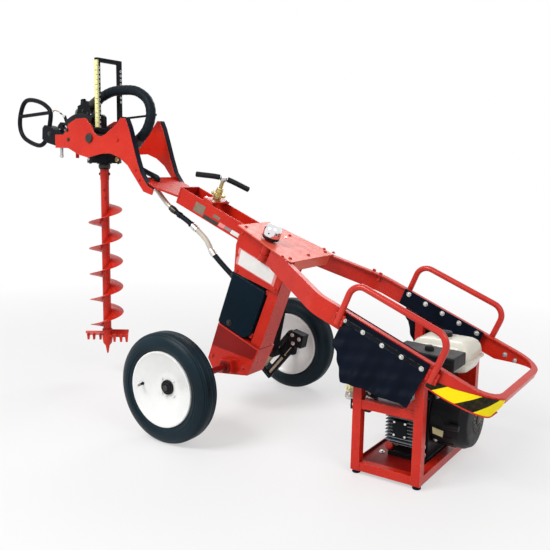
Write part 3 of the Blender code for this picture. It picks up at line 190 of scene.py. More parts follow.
def edge_mask(tree, radius, sharp=0.06):
    """1 on worn edges: where a rounded normal leaves the true one."""
    rounding = node(tree, "Bevel", Radius=radius)
    rounding.samples = 4
    dot = node(tree, "VectorMath")
    dot.operation = "DOT_PRODUCT"
    tree.links.new(rounding.outputs["Normal"], dot.inputs[0])
    tree.links.new(node(tree, "NewGeometry").outputs["Normal"], dot.inputs[1])
    away = math_node(tree, "SUBTRACT", 1.0, dot.outputs["Value"])
    return spread(tree, away, 0.0, 1.0, sharp * 0.35, sharp)


def crevice(tree, distance):
    made = node(tree, "AmbientOcclusion", Distance=distance)
    made.samples = 4
    return made.outputs["AO"]


def finish(name, light, dark, rough=(0.3, 0.45), metal=0.0, coat=0.0, grain=(700, 0.05, 0.0002),
           patches=5.0, worn=None, corner_shade=None, corner_shade_reach=0.02, specular=0.5):
    """One procedural surface: patches between two colours, grain, worn edges, and painted shade in corners.
    """
    made, tree, shader = new_material(name)
    colour = ramp(tree, noise(tree, patches, 5.0, 0.6), [(0.32, dark), (0.68, light)]).outputs["Color"]
    # corner_shade is a darker colour laid in noisy patches where ambient occlusion finds corners and gaps:
    # painted shade.
    if corner_shade:
        shade = spread(tree, crevice(tree, corner_shade_reach), 0.75, 0.0, 0.35, 0.95)
        shade_amount = math_node(tree, "MULTIPLY", shade, spread(tree, noise(tree, 35, 4), 0.4, 1.0))
        colour = mix(tree, shade_amount, colour, corner_shade)
    if worn:
        rubbed = spread(tree, noise(tree, 90, 4), 0.0, 0.9, 0.45, 0.62)
        colour = mix(tree, math_node(tree, "MULTIPLY", edge_mask(tree, 0.002), rubbed), colour, worn)
    bumps = node(tree, "Bump", Strength=grain[1], Distance=grain[2])
    tree.links.new(noise(tree, grain[0], 2.0, 0.5), bumps.inputs["Height"])
    for socket, value in (("Base Color", colour), ("Metallic", metal), ("Specular IOR Level", specular),
                          ("Roughness", spread(tree, noise(tree, 28, 4.0, 0.6), *rough)),
                          ("Coat Weight", coat), ("Coat Roughness", 0.12),
                          ("Normal", bumps.outputs["Normal"])):
        connect(tree, value, shader.inputs[socket])
    return made


RED = finish("enamel_red", (0.64, 0.026, 0.01), (0.52, 0.014, 0.006), (0.24, 0.36), specular=0.28,
             worn=(0.86, 0.15, 0.09), corner_shade=(0.16, 0.008, 0.006), grain=(420, 0.04, 0.0003))
# A darker copy of the red enamel for red parts that lie in shade: painted shade.
SHADED_RED = finish("enamel_red_shaded", (0.3, 0.008, 0.006), (0.2, 0.006, 0.005), (0.35, 0.5), specular=0.2,
                  worn=(0.45, 0.08, 0.06), corner_shade=(0.05, 0.01, 0.01))
RED_TUBE = finish("enamel_red_tube", (0.64, 0.03, 0.014), (0.54, 0.018, 0.01), (0.2, 0.3), specular=0.4,
                  corner_shade=(0.16, 0.008, 0.006))
BLACK = finish("enamel_black", (0.006, 0.008, 0.012), (0.0025, 0.0035, 0.005), (0.3, 0.45), specular=0.1,
               worn=(0.14, 0.15, 0.16), corner_shade=(0.03, 0.025, 0.02))
BLUE_BLACK = finish("enamel_blue_black", (0.003, 0.013, 0.024), (0.0015, 0.008, 0.015), (0.36, 0.5),
                    specular=0.07, worn=(0.1, 0.12, 0.14), patches=3.0)
PLASTIC = finish("moulded_black", (0.009, 0.01, 0.012), (0.004, 0.0045, 0.006), (0.4, 0.56),
                 grain=(1400, 0.16, 0.0003), specular=0.2)
RUBBER = finish("guard_rubber", (0.0025, 0.006, 0.016), (0.0012, 0.003, 0.008), (0.38, 0.6),
                grain=(900, 0.3, 0.0005), specular=0.07, patches=9.0)
HOSE = finish("hose_rubber", (0.004, 0.01, 0.015), (0.002, 0.005, 0.008), (0.4, 0.6),
              grain=(1100, 0.25, 0.0004), specular=0.12)
TYRE = finish("tyre_rubber", (0.006, 0.021, 0.031), (0.003, 0.011, 0.017), (0.34, 0.5),
              grain=(800, 0.2, 0.0004), specular=0.16, patches=7.0)
WHITE = finish("enamel_white", (0.9, 0.9, 0.88), (0.84, 0.85, 0.84), (0.25, 0.38), coat=0.3,
               corner_shade=(0.42, 0.42, 0.4), corner_shade_reach=0.012)
CREAM = finish("enamel_cream", (0.8, 0.77, 0.66), (0.73, 0.7, 0.59), (0.25, 0.38), coat=0.3,
               corner_shade=(0.32, 0.28, 0.2))
STEEL = finish("turned_steel", (0.62, 0.62, 0.63), (0.46, 0.46, 0.47), (0.22, 0.42), metal=1.0,
               grain=(300, 0.08, 0.0002), corner_shade=(0.1, 0.09, 0.08))
ZINC = finish("zinc_plate", (0.74, 0.74, 0.72), (0.6, 0.6, 0.58), (0.25, 0.4), metal=0.9)
DARK_STEEL = finish("blackened_steel", (0.07, 0.065, 0.06), (0.03, 0.028, 0.026), (0.35, 0.55), metal=0.7)
CHROME = finish("bright_chrome", (0.86, 0.86, 0.88), (0.8, 0.8, 0.83), (0.05, 0.12), metal=1.0,
                grain=(200, 0.01, 0.0001))
BRASS = finish("dull_brass", (0.68, 0.52, 0.22), (0.46, 0.38, 0.17), (0.25, 0.45), metal=0.95,
               corner_shade=(0.09, 0.07, 0.03), corner_shade_reach=0.008)
ALUMINIUM = finish("cast_aluminium", (0.6, 0.61, 0.62), (0.44, 0.45, 0.47), (0.35, 0.55), metal=0.85,
                   grain=(650, 0.35, 0.0006), corner_shade=(0.07, 0.07, 0.07))
GREEN_IRON = finish("grey_green_casting", (0.19, 0.24, 0.21), (0.11, 0.14, 0.125), (0.4, 0.55), metal=0.2,
                    grain=(500, 0.35, 0.0007), corner_shade=(0.03, 0.035, 0.03))
YELLOW_STRIP = finish("pale_yellow", (0.86, 0.84, 0.4), (0.78, 0.76, 0.33), (0.4, 0.55))
BLANK_WHITE = finish("blank_white_label", (0.86, 0.85, 0.82), (0.8, 0.78, 0.76), (0.25, 0.4), patches=30)
BLANK_GREY = finish("blank_grey_label", (0.46, 0.46, 0.44), (0.36, 0.37, 0.36), (0.3, 0.45), patches=30)
BLANK_BROWN = finish("blank_brown_label", (0.26, 0.19, 0.13), (0.18, 0.13, 0.09), (0.35, 0.5), patches=30)
BLANK_YELLOW = finish("blank_yellow_label", (0.84, 0.8, 0.45), (0.78, 0.73, 0.38), (0.3, 0.45), patches=30)
PINK = finish("blank_pink_border", (0.8, 0.3, 0.3), (0.72, 0.22, 0.22), (0.3, 0.45), patches=30)
TAN = finish("tan_cover", (0.52, 0.42, 0.28), (0.4, 0.33, 0.22), (0.45, 0.6))
# A lighter, pinker red for the gusset plate's top: painted highlight, the light's reflection on the plate.
RED_HIGHLIGHT = finish("enamel_red_highlight", (0.8, 0.125, 0.075), (0.7, 0.085, 0.05), (0.3, 0.44), specular=0.28,
                 patches=6.0)
PALE_PIPE = finish("pale_steel_pipe", (0.66, 0.62, 0.54), (0.5, 0.47, 0.4), (0.3, 0.45), metal=0.3)
# A pale colour for a stretch of black hose: painted highlight where the hose looks washed out.
HOSE_HIGHLIGHT = finish("hose_highlight_paint", (0.6, 0.56, 0.47), (0.44, 0.41, 0.34), (0.4, 0.55))
FIN_METAL = finish("cast_fins", (0.2, 0.24, 0.27), (0.12, 0.15, 0.17), (0.45, 0.6), metal=0.4, specular=0.3)
GREY_PLASTIC = finish("grey_plastic", (0.3, 0.31, 0.32), (0.22, 0.23, 0.24), (0.4, 0.55))


def hazard():
    """Slanted yellow and black bands, laid out by the plate's own UV."""
    made, tree, shader = new_material("hazard_bands")
    split = node(tree, "SeparateXYZ")
    tree.links.new(node(tree, "TexCoord").outputs["UV"], split.inputs["Vector"])
    slant = math_node(tree, "ADD", split.outputs["X"], split.outputs["Y"])
    bands = ramp(tree, math_node(tree, "FRACT", slant, 0.0),
                 [(0.0, (0.003, 0.003, 0.005)), (0.42, (1.0, 0.8, 0.004))])
    bands.color_ramp.interpolation = "CONSTANT"
    dust = spread(tree, noise(tree, 60, 4), 0.0, 0.06)
    connect(tree, mix(tree, dust, bands.outputs["Color"], (0.6, 0.42, 0.05)), shader.inputs["Base Color"])
    connect(tree, spread(tree, noise(tree, 40, 3), 0.25, 0.4), shader.inputs["Roughness"])
    shader.inputs["Specular IOR Level"].default_value = 0.12
    return made


HAZARD = hazard()


# ---------------------------------------------------------------- shapes
def mm(*values):
    """Pairs in metres from a flat row in millimetres."""
    return [(a / 1000, b / 1000) for a, b in zip(values[::2], values[1::2])]


def route(*values):
    """Places measured from the axle, from a flat row in millimetres."""
    return [D(x / 1000, y / 1000, z / 1000) for x, y, z in zip(values[::3], values[1::3], values[2::3])]


def around(count, first=0.0):
    return [(number, first + tau * number / count) for number in range(count)]


def mirrored(side, low, high):
    return sorted((side * low, side * high))


def piece(name, shape, look, bevel=0.0, segments=2, angle=35, body="chassis", stands_for=None):
    """A visible piece from a mesh: it rides on a body, and may stand for a node of the CAD model."""
    bmesh.ops.recalc_face_normals(shape, faces=shape.faces)
    data = bpy.data.meshes.new(name)
    shape.to_mesh(data)
    shape.free()
    data.shade_smooth()
    data.set_sharp_from_angle(angle=radians(angle))
    data.materials.append(look)
    made = bpy.data.objects.new(name, data)
    bpy.context.scene.collection.objects.link(made)
    bpy.context.view_layer.update()
    if body:
        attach(made, body)
    if bevel:
        rounding = made.modifiers.new("edges", "BEVEL")
        rounding.width = bevel
        rounding.segments = segments
        rounding.limit_method = "ANGLE"
        rounding.angle_limit = radians(angle)
        rounding.use_clamp_overlap = True
        weighted = made.modifiers.new("normals", "WEIGHTED_NORMAL")
        weighted.keep_sharp = True
        weighted.weight = 80
    if stands_for:
        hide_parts(stands_for)
    return made


def dress(node_name, look, bevel=0.0015, segments=2):
    """A node's own shape with its edges rounded off and shaded smooth."""
    source = NODES[node_name]
    shape = bmesh.new()
    shape.from_mesh(source.data)
    bmesh.ops.remove_doubles(shape, verts=shape.verts, dist=0.00002)
    bmesh.ops.dissolve_limit(shape, angle_limit=radians(0.5), verts=shape.verts, edges=shape.edges)
    piece(node_name + "_shell", shape, look, bevel, segments, 32, source["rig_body"], node_name)


def prism(outline, low, high, upright=True, matrix=DESIGN):
    """An outline in x and z drawn out along y, or one in x and y drawn upward."""
    shape = bmesh.new()
    ends = [[shape.verts.new((a, along, b) if upright else (a, b, along)) for a, b in outline]
            for along in (low, high)]
    shape.faces.new(ends[0])
    shape.faces.new(ends[1])
    for index in range(len(outline)):
        after = (index + 1) % len(outline)
        shape.faces.new((ends[0][index], ends[0][after], ends[1][after], ends[1][index]))
    bmesh.ops.transform(shape, matrix=matrix, verts=shape.verts)
    return shape


def block(x, y, z, matrix=DESIGN):
    return prism([(x[0], y[0]), (x[1], y[0]), (x[1], y[1]), (x[0], y[1])], *z, False, matrix)


def basis(direction):
    forward = Vector(direction).normalized()
    side = Vector(ACROSS) if abs(forward.y) < 0.9 else Vector(AHEAD)
    across = side.cross(forward).normalized()
    return Matrix((across, forward.cross(across), forward)).transposed()


def lathe(profile, direction, centre, segments, ripple=None):
    """A profile of (radius, height) turned about an axis. One that starts off the axis closes on itself."""
    turn = basis(direction)
    shape = bmesh.new()
    rings = []
    for radius, height in profile:
        ring = []
        for step in range(segments if radius else 1):
            angle = tau * step / segments
            reach = radius * (ripple(angle, radius, height) if ripple else 1.0)
            local = Vector((reach * cos(angle), reach * sin(angle), height))
            ring.append(shape.verts.new(Vector(centre) + turn @ local))
        rings.append(ring)
    closed = len(rings[0]) > 1
    for ring, after in zip(rings, rings[1:] + rings[:1] if closed else rings[1:]):
        for step in range(segments):
            following = (step + 1) % segments
            corners = [ring[step % len(ring)], ring[following % len(ring)],
                       after[following % len(after)], after[step % len(after)]]
            unique = list(dict.fromkeys(corners))
            if len(unique) > 2:
                shape.faces.new(unique)
    return shape


def join(*shapes):
    """Several closed shapes as one mesh."""
    whole = bmesh.new()
    for shape in shapes:
        data = bpy.data.meshes.new("part")
        bmesh.ops.recalc_face_normals(shape, faces=shape.faces)
        shape.to_mesh(data)
        shape.free()
        whole.from_mesh(data)
        bpy.data.meshes.remove(data)
    return whole


def rod(start, end, radius, segments=24):
    span = end - start
    return lathe([(0, 0), (radius, 0), (radius, span.length), (0, span.length)], span, start, segments)


def smooth(points, spacing, closed=False):
    """A curve through the points, cut into even steps."""
    count = len(points)
    dense = []
    spans = count if closed else count - 1
    for index in range(spans):
        here, after = points[index], points[(index + 1) % count]
        before = points[index - 1] if index or closed else here * 2 - after
        beyond = points[(index + 2) % count] if index < spans - 1 or closed else after * 2 - here
        for step in range(24):
            t = step / 24
            dense.append(0.5 * (2 * here + (after - before) * t
                                + (2 * before - 5 * here + 4 * after - beyond) * t * t
                                + (3 * here - before - 3 * after + beyond) * t * t * t))
    dense.append(points[0] if closed else points[-1])
    lengths = [0.0]
    for here, after in zip(dense, dense[1:]):
        lengths.append(lengths[-1] + (after - here).length)
    steps = max(2, round(lengths[-1] / spacing))
    path = []
    place = 0
    for step in range(steps + (0 if closed else 1)):
        target = lengths[-1] * step / steps
        while place < len(lengths) - 2 and lengths[place + 1] < target:
            place += 1
        span = lengths[place + 1] - lengths[place]
        share = min(1.0, (target - lengths[place]) / span) if span else 0.0
        path.append(dense[place].lerp(dense[place + 1], share))
    return path


def tube(path, radius, sides, closed=False):
    """A round tube along points, with a frame that doesn't twist; radius may be a function of share."""
    shape = bmesh.new()
    count = len(path)
    tangents = []
    for index in range(count):
        before = path[index - 1] if index or closed else path[index]
        after = path[(index + 1) % count] if index < count - 1 or closed else path[index]
        tangents.append((after - before).normalized())
    side = tangents[0].orthogonal().normalized()
    rings = []
    for index, (here, tangent) in enumerate(zip(path, tangents)):
        side = (side - tangent * side.dot(tangent)).normalized()
        other = tangent.cross(side)
        reach = radius(index / max(1, count - 1)) if callable(radius) else radius
        rings.append([shape.verts.new(here + side * reach * cos(angle) + other * reach * sin(angle))
                      for _, angle in around(sides)])
    if closed:
        first, last = rings[0], rings[-1]
        shift = min(range(sides), key=lambda k: (last[0].co - first[k].co).length)
        rings.append(first[shift:] + first[:shift])
    bridge(shape, rings)
    if not closed:
        shape.faces.new(rings[0])
        shape.faces.new(rings[-1])
    return shape


def bridge(shape, rings):
    """Faces between one closed ring of points and the next."""
    for ring, after in zip(rings, rings[1:]):
        for step in range(len(ring)):
            following = (step + 1) % len(ring)
            shape.faces.new((ring[step], ring[following], after[following], after[step]))


def rounded(points, radius, steps=10):
    """A path with its corners rounded off."""
    path = [points[0]]
    for before, here, after in zip(points, points[1:], points[2:]):
        into = (before - here).normalized()
        out = (after - here).normalized()
        half = into.angle(out) / 2
        back = radius / tan(half)
        centre = here + (into + out).normalized() * (radius / sin(half))
        first = (here + into * back - centre).normalized()
        last = (here + out * back - centre).normalized()
        path += [centre + first.slerp(last, step / steps) * radius for step in range(steps + 1)]
    return path + [points[-1]]


# Shapes made into pieces in one call: what follows the look goes to piece()
def turned(name, profile, direction, centre, segments, look, *rest, **more):
    return piece(name, lathe(profile, direction, centre, segments), look, *rest, **more)


def boxed(name, x, y, z, look, *rest, matrix=DESIGN, **more):
    return piece(name, block(x, y, z, matrix), look, *rest, **more)


def plate(name, outline, low, high, look, *rest, **more):
    return piece(name, prism(outline, low, high), look, *rest, **more)


def piped(name, path, radius, sides, look, *rest, **more):
    return piece(name, tube(path, radius, sides), look, *rest, **more)


def bolt(name, place, direction, size, look, washer=True, height=None, body="chassis"):
    """A hexagon head on its washer, seated at a place and facing a direction."""
    rise = height or size * 0.7
    base = size * 0.22 if washer else 0.0
    shapes = []
    if washer:
        shapes.append(lathe([(0, 0), (size * 1.45, 0), (size * 1.45, base), (0, base)], direction, place, 24))
    shapes.append(lathe([(0, base * 0.9), (size, base * 0.9), (size, base + rise * 0.8),
                         (size * 0.86, base + rise), (0, base + rise)], direction, place, 6))
    piece(name, join(*shapes), look, size * 0.06, 1, body=body)


def bolts(name, places, *rest, **more):
    for number, place in enumerate(places):
        bolt(f"{name}_{number}", place, *rest, **more)


def patch(name, corners, out, thick, look, bevel=0.0):
    """A thin flat piece from four corners, raised along out."""
    shape = bmesh.new()
    low = [shape.verts.new(corner) for corner in corners]
    high = [shape.verts.new(corner + Vector(out) * thick) for corner in corners]
    shape.faces.new(low)
    shape.faces.new(high)
    bridge(shape, [low, high])
    piece(name, shape, look, bevel)


def weld(name, start, end, radius, look=RED):
    """A rippled fillet bead."""
    steps = max(4, int((end - start).length / 0.0016))
    path = [start.lerp(end, step / steps) for step in range(steps + 1)]
    piped(name, path, lambda share: radius * (1 + 0.1 * sin(share * steps * 1.1)), 8, look, angle=80)


# ---------------------------------------------------------------- wheels
def tyre_profile():
    """Round one whole section: a bulging side, ribs in the tread, and the same again mirrored."""
    bead, outer = 0.1388, AXLE_Z
    half, flat = 0.047, 0.013

    def bulge(angle):
        return bead + (outer - bead) * cos(angle) ** 0.6
    side = [(bead, half * 0.74), (bead + 0.002, half * 0.8)]
    for step in range(15):
        angle = radians(76) * (1 - step / 14)
        side.append((bulge(angle), flat + (half - flat) * sin(angle)))
    points = []
    for (r0, h0), (r1, h1) in zip(side, side[1:]):
        points += [(r0 + (r1 - r0) * step / 3, h0 + (h1 - h0) * step / 3) for step in range(3)]
    points = [(r, h) for r, h in points if h > 0.0335]
    for rib in (0.033, 0.0262, 0.0194, 0.0126, 0.0058):
        top = bulge(asin((rib - flat) / (half - flat)) if rib > flat else 0.0)
        points += [(top, rib + 0.0014), (top - 0.0016, rib + 0.0008), (top - 0.0016, rib - 0.0008),
                   (top, rib - 0.0014)]
    return points + [(r, -h) for r, h in reversed(points)]


def wheel(side, name):
    body = f"wheel_{name}"
    centre = D(0, side * TRACK, AXLE_Z)
    turned(f"tyre_{name}_rubber", tyre_profile(), ACROSS, centre, 128, TYRE, angle=38, body=body,
           stands_for=f"tyre_{name}")
    faces = ((1, "out"), (-1, "in"))
    for face, where in faces:
        line = [(r, face * h) for r, h in mm(156, 44.7, 157.5, 45.8, 159, 45.8, 160.5, 44.9, 159, 44)]
        turned(f"tyre_{name}_ring_{where}", line, ACROSS, centre, 128, TYRE, angle=50, body=body)

    dish = mm(27.3, 3, 46, 3, 52, 3.6, 60, 6, 72, 10.5, 86, 17.2, 100, 24, 112, 30.2, 122, 35.2, 128, 38.5,
              131.5, 41.8, 134, 42.8, 137.5, 42.8, 138.4, 41.8)
    turned(f"rim_{name}_disc", dish + [(r, -h) for r, h in reversed(dish)], ACROSS, centre, 112, WHITE,
           angle=50, body=body, stands_for=f"rim_{name}")
    for number, angle in around(4, pi / 4):
        for face, where in faces:
            place = centre + Vector((0.0395 * cos(angle), face * 0.0028, 0.0395 * sin(angle)))
            bolt(f"rim_{name}_nut_{number}_{where}", place, (0, face, 0), 0.0048, WHITE, body=body)

    barrel = mm(0, 10, 12.8, 10, 12.8, -45, 24, -45, 27, -42, 27, 8, 25.5, 11.5, 18, 12.5, 16.5, 15.5,
                0, 15.8)
    turned(f"hub_{name}_barrel", [(r, side * h) for r, h in barrel], ACROSS, centre, 48, BLACK, 0.0008,
           body=body, stands_for=f"hub_{name}")
    turned(f"hub_{name}_nut", mm(0, 0, 11.5, 0, 11.5, 3.5, 10, 4.8, 0, 4.8), (0, side, 0),
           centre + Vector((0, side * 0.0158, 0)), 6, DARK_STEEL, 0.0006, body=body)
    turned(f"hub_{name}_nipple", mm(0, 0, 3.5, 0, 3.5, 6, 2.2, 8.5, 3, 11.5, 0, 13),
           (0.25, side * 0.6, -0.75), centre + Vector((0.004, side * 0.003, -0.0265)), 16, ZINC, body=body)
    seat = centre + Vector((0.103, side * 0.0242, 0.0))
    lean = Vector((-0.18, side, 0))
    turned(f"valve_{name}_stem", mm(0, -4, 6.2, -4, 6.2, 1, 4.2, 4, 3.8, 20, 0, 20), lean, seat, 20, HOSE,
           body=body)
    turned(f"valve_{name}_cap", mm(0, 20.2, 4.5, 20.2, 4.8, 26, 3.4, 30, 0, 30.5), lean, seat, 20,
           GREY_PLASTIC, body=body)


# ---------------------------------------------------------------- auger
def auger():
    centre = D(AUGER_X, 0, 0)
    low, high, pitch = 0.236, 0.815, 0.118
    shaft, widest, per_turn = 0.0185, 0.0757, 72
    turns = (high - low) / pitch
    steps = round(turns * per_turn)
    flight = bmesh.new()
    rings = []
    for step in range(steps + 1):
        angle = tau * turns * step / steps + 0.11
        height = low + (high - low) * step / steps
        outer = shaft + (widest - shaft) * min(1.0, (steps - step + 3) / 18) ** 0.6
        outer *= 1 - 0.006 * abs(sin(angle * 3.3) * sin(angle * 1.7))
        section = [(0.014, 0.0), (0.03, 0.0012), (outer - 0.0012, 0.0022), (outer, 0.003),
                   (outer, 0.004), (outer - 0.0012, 0.0048), (0.03, 0.0058), (0.014, 0.007)]
        rings.append([flight.verts.new(centre + Vector((r * cos(angle), r * sin(angle), height + lift)))
                      for r, lift in section])
    bridge(flight, rings)
    flight.faces.new(rings[0])
    flight.faces.new(rings[-1])
    stem = lathe(mm(0, 233, 18, 233, 18.5, 235, 18.5, 915.4, 19.2, 917.4, 20.2, 919.9, 20.2, 963.9, 19.5,
                    965.4, 0, 965.4), UP, centre, 48)
    piece("auger_flighting", join(flight, stem), RED, angle=40, body="auger_body", stands_for="auger")
    for mark, turn in (("a", 0.6), ("b", 0.6 + pi)):
        out = Vector((cos(turn), sin(turn), 0))
        bolt(f"auger_pin_{mark}", D(AUGER_X, 0, 0.944) + out * 0.0196, out, 0.0058, DARK_STEEL,
             body="auger_body")
    for number, (height, turn) in enumerate(((0.873, 2.2), (0.835, 2.4))):
        out = Vector((cos(turn), sin(turn), 0))
        turned(f"auger_lug_{number}", mm(0, 0, 4.2, 0, 3.6, 10, 0, 12), out,
               D(AUGER_X, 0, height) + out * 0.018, 14, SHADED_RED, body="auger_body")
    dress("auger_teeth", RED, 0.0009)
    dress("output_coupling", BLACK, 0.0012)
    turned("coupling_collar", mm(24.2, 970, 26.2, 972, 26.2, 985, 24.2, 987), UP, centre, 40, DARK_STEEL,
           body="auger_body")


# ---------------------------------------------------------------- nodes shown with their own shape
def plain_nodes():
    for look, bevel, names in (
            (RED, 0.0018, "boom_channel"), (RED, 0.0015, "boom_front_plate"),
            # The gusset plate takes the lighter red: painted highlight.
            (RED_HIGHLIGHT, 0.0018, "gusset_plate"), (RED, 0.0016, "rail_frame head_plate_left head_plate_right"),
            (RED, 0.0025, "head_tongue"), (RED, 0.0014, "cheek_left cheek_right"), (RED, 0.003, "mast"),
            (RED, 0.0025, "axle_pedestal"), (RED, 0.0012, "filler_neck"), (RED, 0.0026, "engine_stand"),
            # The stand's tray and the axle take the shaded red: painted shade.
            (SHADED_RED, 0.0012, "stand_tray"), (BLACK, 0.002, "drive_housing hydraulic_motor"),
            (PLASTIC, 0.0015, "control_arm"), (BLACK, 0.001, "swing_lock_rod"),
            (PLASTIC, 0.0015, "recoil_grip"), (PLASTIC, 0.001, "valve_lever"), (SHADED_RED, 0.001, "axle"),
            (STEEL, 0.0006, "hitch_pin"), (DARK_STEEL, 0.001, "trunnion_pin_left trunnion_pin_right")):
        for name in names.split():
            dress(name, look, bevel)


# ---------------------------------------------------------------- head and handles
def guide_handle():
    loop = mm(1259, 1284, 1200, 1274, 1151, 1254, 1119, 1224, 1125, 1172, 1144, 1118, 1171, 1081, 1210, 1069,
              1270, 1083, 1321, 1108, 1346, 1147, 1347, 1197, 1326, 1251, 1299, 1278)
    ring = tube(smooth([D(x, 0, z) for x, z in loop], 0.007, closed=True), 0.0105, 26, closed=True)
    bar = rod(D(1.121, 0, 1.222), D(1.344, 0, 1.207), 0.0085)
    piece("guide_ring", join(ring, bar), BLACK, angle=60, stands_for="guide_handle")
    for number, (x, z, way) in enumerate(((1.1325, 1.2212, 1), (1.3355, 1.2076, -1))):
        weld(f"guide_bead_{number}", D(x, 0, z + 0.0085), D(x + way * 0.002, 0, z - 0.0085), 0.003, BLACK)

    cable = smooth(route(1104.5, 0, 1224.8, 1085, 2, 1231, 1050, 10, 1224, 1010, 22, 1209, 985, 30, 1200),
                   0.003)
    half = round(len(cable) * 0.62)
    piped("cable_cover", cable[:half + 1], 0.003, 14, TAN, stands_for="handle_cable")
    piped("cable_end", cable[half:], 0.0026, 14, HOSE)
    for mark, spot in (("a", 2), ("b", half), ("c", len(cable) - 3)):
        turned(f"cable_ferrule_{mark}", mm(2.8, -4, 4, -4, 4.3, 0, 4, 4, 2.8, 4),
               cable[spot + 1] - cable[spot], cable[spot], 18, ZINC)
    plate("cable_stay", mm(940, 1114.2, 956, 1114.2, 992, 1198, 984, 1206, 974, 1203),
          0.0285, 0.0315, BLACK, 0.0008)
    piece("cable_anchor", rod(D(0.978, 0.03, 1.1975), D(0.996, 0.03, 1.2045), 0.0052), ZINC, 0.0006)


def head_details():
    dress("hitch_coupler", BLACK, 0.004, 3)
    for side, mark in MARKS:
        out = (0, side, 0)
        bolt(f"coupler_bolt_{mark}", D(1.094, side * 0.0282, 1.122), out, 0.0085, DARK_STEEL)
        plate(f"coupler_strap_{mark}", mm(952, 1070, 952, 1104, 1006, 1112, 1006, 1080),
              *mirrored(side, 0.0284, 0.0324), BLACK, 0.001)
        bolts(f"coupler_strap_{mark}_bolt", [D(x, side * 0.0324, 1.092) for x in (0.966, 0.994)], out,
              0.005, DARK_STEEL, washer=False)
    plate("coupler_latch", mm(1012, 1141.5, 1050, 1141.5, 1060, 1158, 1040, 1176, 998, 1172, 992, 1164,
                              1030, 1160), -0.011, 0.011, BLACK, 0.0022, 3)

    # A thin dark strip in the rubber colour along each horn's rear edge: painted shade for the shadowed
    # flange.
    edge = mm(507, 1177, 490, 1143, 466, 1073, 446, 1012, 424, 955, 385, 905, 356, 893)
    shade_strip = [(x - 0.0003, z) for x, z in edge] + [(x - 0.0036, z + 0.001) for x, z in reversed(edge)]
    spots = mm(862, 1092, 868, 1134, 555, 1090, 452, 968, 432, 928)
    for side, name in HANDS:
        plate(f"horn_edge_shade_{name}", shade_strip, *mirrored(side, 0.0915, 0.116), RUBBER, 0.0008)
        turned(f"pivot_cap_{name}", mm(13, 15, 17.6, 15, 17.6, 19.6, 15.6, 21.6, 10.6, 21.6, 8.5, 19, 0, 19),
               (0, side, 0), D(PIVOT_X, side * 0.1003, PIVOT_Z), 40, DARK_STEEL)
        for number, (x, z) in enumerate(spots):
            bolt(f"head_bolt_{name}_{number}", D(x, side * 0.1151, z), (0, side, 0),
                 0.0062 if number < 3 else 0.005, RED if number > 1 else DARK_STEEL)
    for number, y in enumerate((-0.085, -0.05, 0.05, 0.085)):
        bolt(f"tongue_bolt_{number}", D(0.9603, y, 1.085), AHEAD, 0.006, DARK_STEEL)
        bolt(f"tongue_top_bolt_{number}", D(0.922, y, 1.1142), UP, 0.0055, DARK_STEEL)
    turned("hitch_pin_washer", mm(8.2, -3, 13.5, -3, 13.5, 0, 8.2, 0), UP, D(1.046, 0, 1.063), 28, ZINC)
    clip = smooth(route(1033, -1, 1021, 1046, -8.5, 1022.5, 1058, -4, 1021, 1060, 5, 1020, 1049, 9.5, 1019.5,
                        1036, 6, 1020), 0.002)
    piped("hitch_pin_clip", clip, 0.0011, 10, ZINC)


